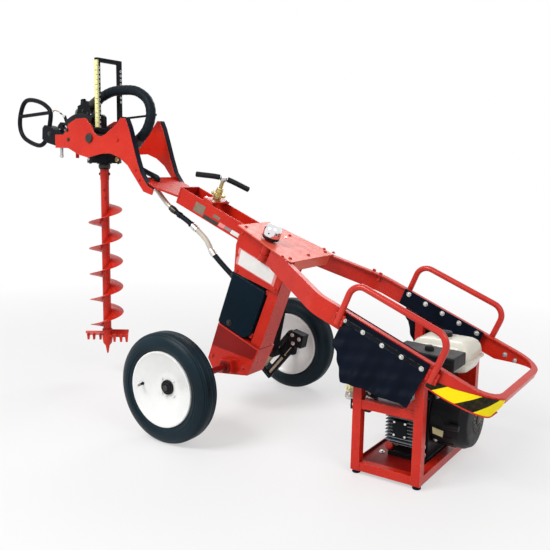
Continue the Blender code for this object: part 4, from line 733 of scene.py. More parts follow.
def drive_details():
    for level, z, way in (("top", 1.0285, 1), ("low", 0.9918, -1)):
        circle = [D(AUGER_X + 0.066 * cos(angle), 0.066 * sin(angle), z) for _, angle in around(8, pi / 8)]
        bolts(f"flange_bolt_{level}", circle, (0, 0, way), 0.005, DARK_STEEL, washer=False, body="drive")
    for number in range(5):
        turned(f"gearbox_rib_{number}", mm(57.8, -3, 60.4, -2, 60.4, 2, 57.8, 3), UP,
               D(AUGER_X, 0, 1.046 + 0.02 * number), 64, BLACK, body="drive")
    flange = 0.0745
    out = Vector((-1.0, -0.03, 0)).normalized()
    bolt("flange_plug", D(AUGER_X, 0, 1.008) + out * flange, out, 0.0072, BRASS, height=0.007, body="drive")
    out = Vector((0.3, 0.95, 0)).normalized()
    bolt("flange_plug_side", D(AUGER_X, 0, 1.012) + out * flange, out, 0.0062, ZINC, body="drive")

    for number, angle in around(10):
        place = D(MOTOR_X + 0.0376 * cos(angle), 0.0376 * sin(angle), 0)
        boxed(f"motor_rib_{number}", (-0.0035, 0.0035), (-0.0035, 0.0035), (1.153, 1.196), BLACK, 0.0008,
              matrix=Matrix.Translation(place) @ Matrix.Rotation(angle, 4, "Z"), body="drive")
    circle = [D(MOTOR_X + 0.026 * cos(angle), 0.026 * sin(angle), 1.205) for _, angle in around(4, pi / 4)]
    bolts("motor_bolt", circle, UP, 0.0048, ZINC, washer=False, body="drive")
    for side, mark in MARKS:
        spots = [D(x, side * 0.0221, z) for x, z in ((0.868, 1.222), (0.838, 1.208))]
        bolts(f"port_bolt_{mark}", spots, (0, side, 0), 0.0055, DARK_STEEL, body="drive")
    turned("port_cap", mm(0, 0, 16.5, 0, 16.5, 12, 13.5, 16, 13.5, 24, 10.5, 27, 0, 27), (0.25, 0, 1),
           D(0.884, 0, 1.2495), 6, BLACK, 0.001, body="drive")
    elbow = smooth(route(903, 6, 1226, 917, 8, 1228, 925, 10, 1220, 926, 12, 1203), 0.003)
    piped("port_elbow", elbow, 0.0068, 18, GREEN_IRON, angle=60, body="drive")
    for number, (place, way) in enumerate(((D(0.906, 0.006, 1.2265), (1, 0.1, 0.1)),
                                           (D(0.926, 0.012, 1.2065), (0, 0, -1)))):
        turned(f"port_nut_{number}", mm(0, 0, 9.2, 0, 9.2, 8, 0, 8), way, place, 6, ZINC, 0.0007,
               body="drive")

    crimp = mm(15, -28, 21.8, -26)
    for ring in range(5):
        base = -24 + ring * 8
        crimp += mm(22.2, base, 22.2, base + 5, 21.4, base + 5.8, 21.4, base + 7.2)
    crimp += mm(22.2, 18, 20.5, 21, 15, 21)
    turned("hose_crimp", crimp, HOSE_LEAVES, D(*HOSE_START), 40, DARK_STEEL, body="drive")
    turned("hose_nut", mm(10, -40, 23.5, -40, 23.5, -29, 10, -29), HOSE_LEAVES, D(*HOSE_START), 6, BLACK,
           0.001, body="drive")


def bow_details():
    dress("hose_bow", BLACK, 0.0022)
    face, top, step = 0.715, 1.412, 0.019
    for name, y, low in (("near", 0.063, 1.15), ("far", -0.063, 1.262)):
        for number in range(int((top - low) / step) + 1):
            place = D(face, y, low + step * number)
            turned(f"bow_eyelet_{name}_{number}", mm(3, -0.4, 5.2, -0.4, 5.2, 0.5, 3, 0.2), (-1, 0, 0), place,
                   20, ZINC, body="drive")
            # A dark disc inside each eyelet: painted shade for the hole.
            turned(f"bow_hole_{name}_{number}", mm(0, -0.6, 3.1, -0.6, 3.1, 0.35, 0, 0.35), (-1, 0, 0), place,
                   16, DARK_STEEL, body="drive")
    tall = (1.146, 1.43)
    boxed("bow_strip", (0.716, 0.734), (0.0718, 0.0734), tall, YELLOW_STRIP, 0.0005, body="drive")
    boxed("bow_strip_edge", (0.7138, 0.7152), (0.0665, 0.0722), tall, YELLOW_STRIP, 0.0005, body="drive")
    for number in range(13):
        z = 1.166 + 0.02 * number
        boxed(f"bow_strip_mark_{number}", (0.7158, 0.7225 + 0.004 * (number % 3)), (0.0722, 0.0737),
              (z, z + 0.0016), BLACK, body="drive")
    for side, name in SIDES:
        boxed(f"bow_shoe_{name}", (0.7085, 0.7415), mirrored(side, 0.053, 0.0735), (1.1248, 1.14), BLACK,
              0.002, body="drive")


def hose_loop():
    """The thick loop over the head; on the machine it bends with the drive, but here it is one fixed shape on
    no body.
    """
    start, end = D(*HOSE_START), D(0.52, 0.036, 1.082)
    leaving = Vector(HOSE_LEAVES).normalized()
    arriving = Vector((0.75, 0.0, -0.66)).normalized()
    low, rise, stub = 1.098, 0.207, 0.034
    arch = [(0.701, 0.002, 0.981), (0.617, 0.004, 1.0), (0.548, 0.008, 0.961), (0.489, 0.012, 0.816),
            (0.459, 0.018, 0.628), (0.453, 0.024, 0.401), (0.468, 0.03, 0.184)]
    path = smooth([start, start + leaving * stub, *(D(x, y, low + rise * share) for x, y, share in arch),
                   end - arriving * stub, end], 0.0035)
    girth = lambda share: 0.0207 + 0.00035 * sin(share * len(path) * 0.9)
    loop = piped("hose_bundle", path, girth, 40, HOSE, angle=80, body=None, stands_for="hose_loop")
    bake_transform(loop)
    turned("hose_lower_crimp", mm(12, -30, 22.2, -28, 22.2, -4, 23.6, -4, 23.6, 10, 12, 10), arriving, end,
           40, DARK_STEEL)
    boom_hoses(end, arriving)


def boom_hoses(start, leaving):
    """The pipe and hoses under the boom, which stay on the boom: one route cut into five pieces."""
    hole, tank = F(0.64, 0.04, -0.041), F(0.1263, 0.03, -0.218)
    path = smooth([start + leaving * 0.0003, start + leaving * 0.02, D(0.556, 0.036, 1.022),
                   D(0.522, 0.037, 0.984), D(0.462, 0.038, 0.958), hole + OUT_BOOM * 0.016, hole,
                   hole - OUT_BOOM * 0.02, D(0.385, 0.038, 0.866), D(0.34, 0.034, 0.822),
                   D(0.285, 0.031, 0.787), D(0.231, 0.03, 0.757), D(0.151, 0.03, 0.7),
                   D(0.105, 0.03, 0.64), tank + UP_BOOM * 0.02, tank], 0.004)

    def nearest(place):
        return min(range(len(path)), key=lambda index: (path[index] - place).length)
    cuts = [0, *(nearest(place) for place in (hole - OUT_BOOM * 0.024, D(0.318, 0.033, 0.808),
                                              D(0.205, 0.03, 0.74), D(0.108, 0.03, 0.646))), len(path) - 1]
    # The fourth stretch is the black hose made pale: painted highlight.
    parts = (("hose_feed", HOSE, 0.0108, "boom_hoses"), ("boom_pipe", PALE_PIPE, 0.0098, None),
             ("hose_middle", HOSE, 0.0108, None), ("hose_highlighted", HOSE_HIGHLIGHT, 0.0106, None),
             ("hose_tail", HOSE, 0.0108, None))
    for (name, look, radius, node_name), first, last in zip(parts, cuts, cuts[1:]):
        piped(name, path[first:last + 1], radius, 24, look, angle=80, stands_for=node_name)
    sleeve = mm(6, -16, 12.6, -16, 12.6, -6, 14.2, -6, 14.2, 6, 12.6, 6, 12.6, 16, 6, 16)
    for number, cut in enumerate(cuts[1:-1]):
        turned(f"boom_hose_ferrule_{number}", sleeve, path[cut + 1] - path[cut - 1], path[cut], 30,
               DARK_STEEL if number == 1 else ZINC)
    turned("tank_union", mm(8, -2, 16.5, -2, 16.5, 10, 13.5, 14, 8, 14), UP_BOOM, tank, 6, DARK_STEEL, 0.001)
    for number, along in enumerate((0.47, 0.395)):
        turned(f"pipe_clip_{number}", mm(9.8, -7, 12.8, -7, 12.8, 7, 9.8, 7), UP_BOOM,
               path[nearest(F(along, 0.036, -0.085))], 28, BLACK, 0.0006)


# ---------------------------------------------------------------- boom, mast and wheels' strut
def flat_label(name, corners, face, look, border=None):
    """A blank label on a near side face of the boom or mast: corners are (along, up)."""
    lift = 0.0006
    out = Vector(ACROSS)
    points = [F(along, face, up) for along, up in corners]
    if border:
        patch(name + "_border", points, out, lift, border)
        middle = sum(points, Vector()) / len(points)
        points = [middle + (point - middle) * 0.88 + out * lift for point in points]
    patch(name, points, out, lift, look, 0.0002)


def boom_details():
    lean = 0.004
    for name, first, last, high, low, look in (
            ("label_square", 0.348, 0.402, -0.019, -0.06, BLANK_BROWN),
            ("label_olive", 0.264, 0.3, -0.026, -0.04, BLANK_BROWN),
            # The slot is a flat dark patch on the face: painted shade for its opening.
            ("slot", 0.268, 0.345, -0.049, -0.066, DARK_STEEL),
            ("band_pink", 0.231, 0.262, -0.044, -0.06, PINK),
            ("band_dark", 0.199, 0.229, -0.045, -0.058, GREY_PLASTIC),
            ("band_white", 0.156, 0.197, -0.044, -0.061, BLANK_WHITE),
            ("band_grey", 0.09, 0.154, -0.044, -0.062, BLANK_GREY)):
        corners = [(first, low), (last, low), (last - lean, high), (first - lean, high)]
        flat_label(f"boom_{name}", corners, 0.0551, look)
    cheek = 0.0605
    flat_label("cheek_label_small", mm(31, -51, 29, -66, -21, -62, -23, -46), cheek, BLANK_WHITE)
    flat_label("cheek_label", mm(130, -89, 121, -155, -72, -153, -69, -91), cheek, BLANK_WHITE, border=PINK)
    spots = mm(136, -30, 128, -120, 105, -178, -82, -160, -88, -40)
    for side, name in SIDES:
        bolts(f"cheek_bolt_{name}", [F(along, side * 0.0604, up) for along, up in spots], (0, side, 0),
              0.0052, RED)
        weld(f"cheek_bead_{name}", F(0.146, side * 0.0556, -0.0128), F(-0.094, side * 0.0556, -0.0128),
             0.0022)
        weld(f"floor_bead_{name}", F(0.49, side * 0.0552, -0.043), F(0.582, side * 0.1055, -0.043), 0.0026)
    weld("boom_end_bead", F(0.4884, -0.054, -0.0006), F(0.4884, 0.054, -0.0006), 0.0022)
    weld("gusset_bead", F(0.1425, -0.054, 0.0008), F(0.1425, 0.054, 0.0008), 0.0024)
    spots = mm(120, 78, 120, -78, -130, 125, -130, -125, -130, 0, 20, -85)
    bolts("gusset_bolt", [F(*spot, 0.0053) for spot in spots], OUT_BOOM, 0.006, RED)
    bolts("gusset_stud", [F(along, -0.04, 0.0053) for along in (0.01, 0.055)], OUT_BOOM, 0.0045, ZINC)


def clamp_details():
    along = 0.346
    centre = F(along, 0, 0)
    boxed("clamp_plate", (0.3202, 0.3718), (-0.0545, 0.0545), (0.0005, 0.0118), RED, 0.0016, matrix=BOOM)
    turned("clamp_nut", mm(0, 11.9, 17.5, 11.9, 17.5, 15, 14.8, 17, 14.8, 27.6, 21.5, 28.2, 26.2, 30,
                           26.2, 38, 21.5, 39.8, 14.8, 40.2, 14.8, 52, 13.5, 53.6, 0, 53.6),
           OUT_BOOM, centre, 40, BRASS, stands_for="clamp_base")
    spots = mm(327, 42, 365, 42, 327, -42, 365, -42)
    bolts("clamp_bolt", [F(*spot, 0.012) for spot in spots], OUT_BOOM, 0.0055, ZINC)
    for number, angle in around(12):
        spot = F(along + 0.0272 * cos(angle), 0.0272 * sin(angle), 0.034)
        piece(f"clamp_knurl_{number}", rod(spot - OUT_BOOM * 0.0052, spot + OUT_BOOM * 0.0052, 0.0022, 10),
              BRASS)

    thread = mm(0, -30, 6.8, -30)
    for turn in range(34):
        base = -29 + turn * 3.6
        thread += mm(8, base, 8, base + 1.2, 6.9, base + 1.8, 6.9, base + 3)
    screw = lathe(thread + mm(6.9, 96, 0, 96), OUT_BOOM, centre, 28)
    stop = lathe(mm(0, 54.5, 12.8, 54.5, 13, 56, 13, 60.5, 12, 62, 0, 62), OUT_BOOM, centre, 28)
    piece("clamp_screw_rod", join(screw, stop), BRASS, angle=50, body="clamp_screw",
          stands_for="clamp_handle")
    reach = 0.112 * cos(pi / 4)
    path = smooth([F(along + reach, reach, 0.088), F(along, 0, 0.104), F(along - reach, -reach, 0.088)],
                  0.0024)
    count = len(path)
    piped("clamp_bar", path[round(count * 0.3):round(count * 0.7)], 0.0062, 20, ZINC, angle=60,
          body="clamp_screw")
    turned("clamp_hub", mm(0, 92, 12.5, 92, 14, 96, 14, 106, 11.5, 111.5, 0, 113), OUT_BOOM, centre, 28,
           STEEL, body="clamp_screw")

    def grip(share):
        from_end = min(share, 1 - share)
        return 0.0108 * min(1.0, (from_end / 0.03 + 0.25)) ** 0.5 + 0.00035 * sin(share * 120)
    for mark, first, last in (("a", 0, 0.44), ("b", 0.56, 1)):
        piped(f"clamp_grip_{mark}", path[round(count * first):round(count * last)], grip, 24, PLASTIC,
              angle=70, body="clamp_screw")


def filler_details():
    along, across = 0.004, 0.0776
    centre = F(along, across, 0.0123)

    def ripple(angle, radius, height):
        return 1 + (0.012 * cos(angle * 18) if 0.028 < radius < 0.0345 and 0.012 < height < 0.036 else 0)
    dome = mm(0, 10.1, 30, 10.1, 32.5, 12, 33.8, 16, 33.8, 36, 32.5, 43, 28.5, 51, 21, 57.2, 11, 60.6,
              0, 61.8)
    piece("filler_dome", lathe(dome, OUT_BOOM, centre, 72, ripple), CHROME, angle=50, body="cap_filler",
          stands_for="filler_cap")
    turned("filler_base_ring", mm(0, 0, 27, 0, 31, 2, 33.5, 5, 33.5, 8.5, 31, 10, 0, 10), OUT_BOOM, centre,
           48, BLACK, body="cap_filler")
    for number, angle in around(5, 0.5):
        out = F(cos(angle), sin(angle), 0) - F(0, 0, 0)
        turned(f"filler_vent_{number}", mm(0, 0, 3.4, 0, 3, 1, 0, 1.2), out,
               F(along, across, 0.04) + out * 0.0334, 14, DARK_STEEL, body="cap_filler")
    turned("filler_neck_bead", mm(16.5, -70, 20.5, -70, 20.5, -64, 16.5, -64), OUT_BOOM, centre, 40, RED)


def mast_details():
    dress("oil_reservoir", BLUE_BLACK, 0.0075, 3)
    for side, name in SIDES:
        edge = [F(along, side * 0.0553, up) for along, up in mm(122, -197, -41, -197, -45, -386)]
        weld(f"tank_seam_{name}_a", edge[0], edge[1], 0.0016, BLUE_BLACK)
        weld(f"tank_seam_{name}_b", edge[1], edge[2], 0.0016, BLUE_BLACK)
    bolt("tank_plug", F(0.06, 0.0552, -0.392), ACROSS, 0.0088, DARK_STEEL)
    turned("tank_sight", mm(0, 0, 12.5, 0, 12.5, 3, 9.5, 4.5, 8, 3, 0, 3), UP_BOOM, F(0.119, 0.0, -0.33), 36,
           DARK_STEEL)
    for number, up in enumerate((-0.205, -0.4)):
        boxed(f"tank_lug_{number}", (-0.054, -0.042), (0.036, 0.0465), (up, up + 0.02), RED, 0.001,
              matrix=BOOM)
    for side, name in SIDES:
        out = (0, side, 0)
        # A dark red patch on each side of the pedestal over its recess: painted shadow.
        shadow_corners = [F(along, side * 0.0554, up) for along, up in
                mm(104, -423.5, -102, -423.5, -98, -470, 100, -520)]
        patch(f"pedestal_shade_{name}", shadow_corners, out, 0.0007, SHADED_RED)
        weld(f"pedestal_bead_{name}", F(-0.102, side * 0.0556, -0.4205), F(0.104, side * 0.0556, -0.4205),
             0.003)
        spots = [F(along, side * 0.0551, up) for along, up in ((0.082, -0.56), (-0.07, -0.525))]
        bolts(f"pedestal_bolt_{name}", spots, out, 0.0062, RED)
        turned(f"axle_flange_{name}", mm(13.2, 0, 26, 0, 26, 5, 13.2, 5), out, D(0, side * 0.0852, AXLE_Z),
               40, SHADED_RED, 0.001)


def strut_details():
    """The strut beside the far wheel: places on it are a share of its length and a shift across it."""
    y = -0.262
    low, high = Vector((0.03, 0, 0.08)), Vector((-0.15, 0, 0.292))
    down = (low - high).normalized()
    over = Vector((-down.z, 0, down.x))
    second = 0.046

    def at(share, shift, side=0.0):
        spot = high.lerp(low, share) + over * shift
        return D(spot.x, y + side, spot.z)

    def plank(first, last, shift, half):
        corners = [high.lerp(low, share) + over * (shift + way * half)
                   for share, way in ((first, -1), (first, 1), (last, 1), (last, -1))]
        return prism([(corner.x, corner.z) for corner in corners], y - 0.008, y + 0.008)
    ring = lathe(mm(13.5, -19, 33.5, -19, 33.5, 19, 13.5, 19), ACROSS, D(0, y, AXLE_Z), 40)
    head = prism(mm(-150, 232, -162, 288, -100, 304, -76, 244), y - 0.023, y + 0.023)
    web = prism(mm(-120, 256, -20, 222, -22, 180, -110, 196), y - 0.0095, y + 0.0095)
    piece("strut_frame", join(ring, plank(0.1, 0.995, 0, 0.0158), plank(0.12, 0.995, second, 0.0098),
                              head, web), BLACK, 0.0018, stands_for="prop_strut")
    plate("strut_arm", mm(-10, 205, -52, 418, -66, 428, -78, 414, -36, 196), -0.24, -0.232, BLACK, 0.0018)
    piped("strut_tan_sleeve", [at(0.46, second), at(0.98, second)], 0.0125, 20, TAN, 0.0008)
    coil = [at(0.16 + 0.28 * step / 160, second + 0.013 * cos(step * 0.42), 0.013 * sin(step * 0.42))
            for step in range(161)]
    piped("strut_spring", coil, 0.0022, 10, DARK_STEEL, angle=80)
    piped("strut_silver_bar", [at(0.3, 0.0), at(0.99, 0.0)], 0.0098, 20, TAN, 0.0006)
    for number, share in enumerate((0.2, 0.52, 0.94)):
        piped(f"strut_link_{number}", [at(share, -0.01, 0.012), at(share, 0.056, 0.012)], 0.006, 14, BLACK,
              0.0006)
    spots = mm(-142, 272, -108, 286, -112, 250)
    bolts("strut_bolt", [D(x, y + 0.0242, z) for x, z in spots], ACROSS, 0.0062, ZINC)
    for number in range(5):
        x, rise = -0.15 + 0.013 * number, 0.002 * number
        boxed(f"strut_ridge_{number}", (x, x + 0.005), (y - 0.0245, y + 0.0245), (0.24 + rise, 0.289 + rise),
              BLACK, 0.0012)
    piped("strut_foot", [at(0.99, -0.014), at(0.99, 0.058)], 0.0105, 18, BLACK, 0.0008)


# ---------------------------------------------------------------- rails, loops and pads
def hand_loops():
    front, rear, top, foot = -0.453, -0.806, 0.105, -0.05
    for side, name in HANDS:
        y = side * 0.2711
        corners = [F(front, y, foot), F(front, y, top), F(rear, y, top), F(rear, y, foot)]
        piped(f"hand_loop_{name}_tube", rounded(corners, 0.045), 0.0108, 26, RED_TUBE, angle=60,
              stands_for=f"hand_loop_{name}")
        for where, along in (("front", front), ("rear", rear)):
            boxed(f"loop_saddle_{name}_{where}", (along - 0.019, along + 0.019),
                  mirrored(side, 0.2602, 0.273), (-0.052, -0.012), RED, 0.0024, matrix=BOOM)
            spots = [F(along + shift, side * 0.2729, -0.032) for shift in (-0.0145, 0.0145)]
            bolts(f"loop_bolt_{name}_{where}", spots, (0, side, 0), 0.0046, RED, washer=False)


def pad_sheet(side, bolted):
    """A rubber sheet that hangs from its bolts in soft folds."""
    lower = mm(-468, -108, -498, -126, -553, -206, -598, -190, -688, -172, -782, -155)
    top, face, thick = -0.004, 0.2614, 0.0042
    wide, tall = 84, 30

    def low_edge(along):
        for (a, b), (c, d) in zip(lower, lower[1:]):
            if c <= along <= a:
                return b + (d - b) * (a - along) / (a - c)
        return lower[-1][1]

    def point(row, column, depth):
        share = row / tall
        along = -0.468 - 0.314 * column / wide
        bottom = low_edge(along) - 0.0016 * sin(column * 0.55) * share
        up = top + (bottom - top) * share
        flare = max(0.0, -0.034 - up) * 0.22
        pull = min(abs(along - spot) for spot, _ in bolted)
        wave = (0.0058 * sin(along * 62 + 0.8 * side) + 0.0022 * sin(along * 150 + 2.0)
                + 0.0026 * sin(up * 120 + along * 60)) * max(0.0, share - 0.1)
        pucker = 0.002 * exp(-(pull / 0.016) ** 2) * (1 - share)
        return F(along, side * (face + flare + depth + max(-flare * 0.8, wave) - pucker * 0.4), up)

    shape = bmesh.new()
    inner, outer = [[[shape.verts.new(point(row, column, depth)) for column in range(wide + 1)]
                     for row in range(tall + 1)] for depth in (0.0, thick)]
    for rows, flip in ((inner, False), (outer, True)):
        for here, below in zip(rows, rows[1:]):
            for c in range(wide):
                corners = (here[c], here[c + 1], below[c + 1], below[c])
                shape.faces.new(corners[::-1] if flip else corners)
    rim = ([(r, 0) for r in range(tall)] + [(tall, c) for c in range(wide)]
           + [(r, wide) for r in range(tall, 0, -1)] + [(0, c) for c in range(wide, 0, -1)])
    bridge(shape, [[sheet[r][c] for r, c in rim] for sheet in (inner, outer)])
    return shape


def guard_pads():
    bolted = mm(-472, -27, -545, -29, -620, -33, -692, -31, -764, -29)
    for side, name in HANDS:
        piece(f"guard_flap_{name}", pad_sheet(side, bolted), RUBBER, angle=50, stands_for=f"guard_pad_{name}")
        bolts(f"flap_bolt_{name}", [F(along, side * 0.2655, up) for along, up in bolted], (0, side, 0),
              0.0056, ZINC, height=0.0055)
        boxed(f"flap_bar_{name}", (-0.776, -0.472), mirrored(side, 0.265, 0.2662), (-0.036, -0.02), BLACK,
              0.0005, matrix=BOOM)
        dress(f"inner_pad_{name}", RUBBER, 0.0012)
        spots = [F(along, side * 0.2336, -0.012) for along in (-0.47, -0.544, -0.616, -0.687, -0.76)]
        bolts(f"inner_bolt_{name}", spots, (0, -side, 0), 0.0064, ZINC, height=0.0055)


def hazard_plate():
    """The striped plate on the near rail: it hangs below the tapered rail and follows its rear corner."""
    straight_end, corner, bend, start = -0.9105, 0.1602, 0.1, -0.797
    stations = [(start, 0, -0.047, -0.0735), (-0.84, 0, -0.039, -0.075), (-0.875, 0, -0.0315, -0.0735),
                *((straight_end, degrees, high, low) for degrees, high, low in (
                    (0, -0.02, -0.07), (15, -0.0125, -0.0685), (30, -0.0085, -0.068),
                    (45, -0.0065, -0.0685), (58, -0.006, -0.066), (76, -0.0075, -0.029)))]

    def at(along, degrees, lift, up):
        angle = radians(degrees)
        return F(along - (bend + lift) * sin(angle), corner + (bend + lift) * cos(angle), up)

    shape = bmesh.new()
    layer = shape.loops.layers.uv.new("UVMap")
    sheets = [[[shape.verts.new(at(along, degrees, lift, high + (low - high) * share))
                for share in (0, 0.5, 1)]
               for along, degrees, high, low in stations] for lift in (0.0006, 0.0024)]
    runs = [start - along + bend * radians(degrees) for along, degrees, _, _ in stations] * 2
    for rows in sheets:
        for here, after in zip(rows, rows[1:]):
            for share in range(2):
                shape.faces.new((here[share], here[share + 1], after[share + 1], after[share]))
    last = len(stations) - 1
    rim = ([(0, 0), (0, 1), (0, 2)] + [(n, 2) for n in range(1, last)] + [(last, 2), (last, 1), (last, 0)]
           + [(n, 0) for n in range(last - 1, 0, -1)])
    bridge(shape, [[rows[r][c] for r, c in rim] for rows in sheets])
    shape.verts.ensure_lookup_table()
    shape.verts.index_update()
    inverse, repeat = BOOM.inverted(), 0.13
    for face in shape.faces:
        for item in face.loops:
            run = runs[item.vert.index // 3]
            item[layer].uv = ((run + 0.008) / repeat, -((inverse @ item.vert.co).z + 0.048) / repeat)
    piece("hazard_plate", shape, HAZARD, angle=40)
    edge = [at(along, degrees, 0.0016, low - 0.0008)
            for along, degrees, _, low in stations[:-1] + [(straight_end, 70, 0, -0.048)]]
    piped("hazard_edge", smooth(edge, 0.004), 0.0026, 12, RED, angle=60)


def rail_details():
    bolts("far_rail_rivet", [F(along, -0.2538, -0.036) for along in (-0.878, -0.919)], ACROSS, 0.0062, ZINC)
    for number, along in enumerate((-0.3, -0.33)):
        boxed(f"far_rail_tab_{number}", (along - 0.006, along + 0.006), (-0.246, -0.238), (-0.03, 0.006), RED,
              0.001, matrix=BOOM)
    for side, name in SIDES:
        weld(f"rail_bead_{name}", F(-0.036, side * 0.106, -0.008), F(-0.036, side * 0.106, -0.064), 0.003)
        spots = [F(along, side * (0.148 - (along + 0.11) * 0.477), 0.0053) for along in (-0.11, -0.145)]
        bolts(f"rail_bolt_{name}", spots, OUT_BOOM, 0.0055, RED)


# ---------------------------------------------------------------- engine and its stand
def stand_details():
    for side, across in SIDES:
        y = side * 0.245
        for way, end, x in ((1, "front", -0.678), (-1, "rear", -0.891)):
            boot = mm(0, 0.4, 12.8, 0.4, 14.2, 2, 13, 10.5, 14.5, 11.4, 14.5, 11.9, 0, 11.9)
            turned(f"boot_{across}_{end}", boot, UP, D(x, y, 0), 32, RUBBER)
            for level, z in (("low", 0.027), ("high", 0.24)):
                inner, outer = x - way * 0.0155, y + side * 0.014
                weld(f"stand_bead_{across}_{end}_{level}", D(inner, outer, z - 0.013),
                     D(inner, outer, z + 0.013), 0.0022)
    spots = mm(-700, 100, -700, -100, -860, 130, -860, -130)
    bolts("tray_bolt", [D(*spot, 0.0262) for spot in spots], UP, 0.0068, ZINC)


def cylinder():
    rear, front, y = -0.865, -0.735, 0.1003
    boxed("cylinder_core", (rear + 0.026, front - 0.026), (y, y + 0.072), (0.104, 0.236), DARK_STEEL, 0.003)
    fins = []
    for number in range(12):
        low = 0.1 + number * 0.0116
        trim = 0.01 if number in (0, 11) else 0.0
        fins.append(block((rear + 0.013 + trim, front - 0.013 - trim), (y, y + 0.0865 - trim),
                          (low, low + 0.003)))
    piece("cylinder_fins", join(*fins), FIN_METAL, 0.001, stands_for="engine_cylinder")
    boxed("cylinder_cover", (-0.826, -0.774), (y + 0.07, y + 0.089), (0.128, 0.186), BLACK, 0.005, 3)
    spots = mm(-819, 135, -781, 135, -819, 179, -781, 179)
    bolts("cylinder_bolt", [D(x, y + 0.0886, z) for x, z in spots], ACROSS, 0.0044, ZINC, washer=False,
          height=0.002)
    turned("spark_plug", mm(0, 0, 9, 0, 9, 6, 6, 7, 5.5, 20, 3.5, 22, 0, 22), (-0.3, 0.75, 0.6),
           D(-0.8, y + 0.07, 0.2), 20, WHITE)
    lead = smooth([D(-0.805, y + 0.08, 0.21), D(-0.812, y + 0.086, 0.22), D(-0.826, y + 0.084, 0.236),
                   D(-0.848, y + 0.06, 0.252), D(-0.868, y + 0.02, 0.258)], 0.004)
    piped("spark_lead", lead, lambda share: 0.0078 if share < 0.22 else 0.0042, 16, PLASTIC, angle=70)


def engine_block():
    dress("engine_block", BLACK, 0.0035, 3)
    boxed("shroud_lip", (-0.855, -0.779), (0.098, 0.1022), (0.246, 0.262), BLACK, 0.0012)
    for number in range(6):
        x = -0.845 + number * 0.014
        boxed(f"shroud_slot_{number}", (x, x + 0.007), (0.0614, 0.0628), (0.276, 0.312), GREY_PLASTIC, 0.0005)
    for number in range(5):
        y = -0.02 + number * 0.016
        boxed(f"shroud_light_{number}", (-0.86, -0.858), (y, y + 0.008), (0.286, 0.316), ALUMINIUM, 0.0005)
    turned("crank_cover", mm(0, 0, 62, 0, 64, 3, 64, 7, 58, 11, 22, 12, 20, 18, 0, 19), AHEAD,
           D(-0.735, -0.01, 0.15), 48, ALUMINIUM)
    for number, (x, z, look, size) in enumerate(((-0.752, 0.075, BRASS, 0.0085), (-0.848, 0.08, ZINC, 0.0075),
                                                 (-0.752, 0.246, ZINC, 0.006), (-0.85, 0.052, ZINC, 0.007))):
        bolt(f"block_bolt_{number}", D(x, 0.1002, z), ACROSS, size, look)
    turned("oil_plug", mm(0, 0, 15, 0, 15.5, 4, 15.5, 13, 13, 16, 0, 17), (0.1, 1, 0.5),
           D(-0.728, 0.09, 0.052), 16, RED, 0.0008)


def recoil_starter():
    dress("recoil_housing", PLASTIC, 0.005, 3)

    def circle(name, count, x, sizes, look, bevel):
        for number, angle in around(count):
            turn = Matrix.Translation(D(x, 0, RECOIL_Z)) @ Matrix.Rotation(angle, 4, "X")
            boxed(f"recoil_{name}_{number}", *sizes, look, bevel, matrix=turn)
    circle("slot", 20, -0.9955, mm(-1.4, 1.2, -3.2, 3.2, 24, 50), DARK_STEEL, 0.0005)
    turned("recoil_hub", mm(0, 0, 17, 0, 17, 3, 13, 5, 0, 5), (-1, 0, 0), D(-0.995, 0, RECOIL_Z), 40,
           DARK_STEEL)
    circle("rib", 18, -0.905, mm(-36, 34, -2.8, 2.8, 105, 107.6), PLASTIC, 0.0008)
    for number, angle in around(4, pi / 4):
        out = Vector((0, cos(angle), sin(angle)))
        bolt(f"recoil_bolt_{number}", D(-0.88, 0, RECOIL_Z) + out * 0.1065, out, 0.0062, ZINC)
    tag = route(-880, 107.2, 160, -918, 107.2, 154, -916, 106, 132, -882, 106, 138)
    patch("recoil_label", tag, ACROSS, 0.0012, BLANK_YELLOW)


def fuel_tank():
    """A squarish shell: each level is drawn in by an inset, and its corners by a power below one."""
    middle, half, squareness, sides = D(-0.8535, -0.057, 0), (0.1115, 0.093), 0.3, 72
    shape = bmesh.new()
    rings = []
    for inset, height in mm(30, 325.6, 21, 329, 13.5, 344, 8, 363, 1.5, 365, 0.2, 366, 0.2, 370, 2, 371.2,
                            7, 373, 8.2, 390, 12, 406, 20, 418, 32, 425.5, 48, 429):
        ring = []
        for _, angle in around(sides, pi / sides):
            bend = [copysign(abs(value) ** squareness, value) for value in (cos(angle), sin(angle))]
            ring.append(shape.verts.new((middle.x + (half[0] - inset) * bend[0],
                                         middle.y + (half[1] - inset) * bend[1], height)))
        rings.append(ring)
    bridge(shape, rings)
    shape.faces.new(rings[0])
    shape.faces.new(rings[-1])
    piece("fuel_tank_shell", shape, CREAM, angle=50, stands_for="fuel_tank")
    turned("tank_neck", mm(0, 0, 30, 0, 30, 1, 26.2, 2.6, 0, 2.6), UP, D(-0.845, -0.055, 0.4286), 48, CREAM)
    grooved = lambda angle, radius, height: 1 + (0.018 * cos(angle * 20) if radius > 0.024 else 0)
    cap = mm(0, 0, 25, 0, 26.2, 1.5, 26.2, 13, 23.5, 16.5, 14, 17, 13, 18, 0, 18)
    piece("fuel_cap_shell", lathe(cap, UP, D(-0.845, -0.055, 0.4303), 80, grooved), PLASTIC, angle=45,
          body="cap_fuel", stands_for="fuel_cap")


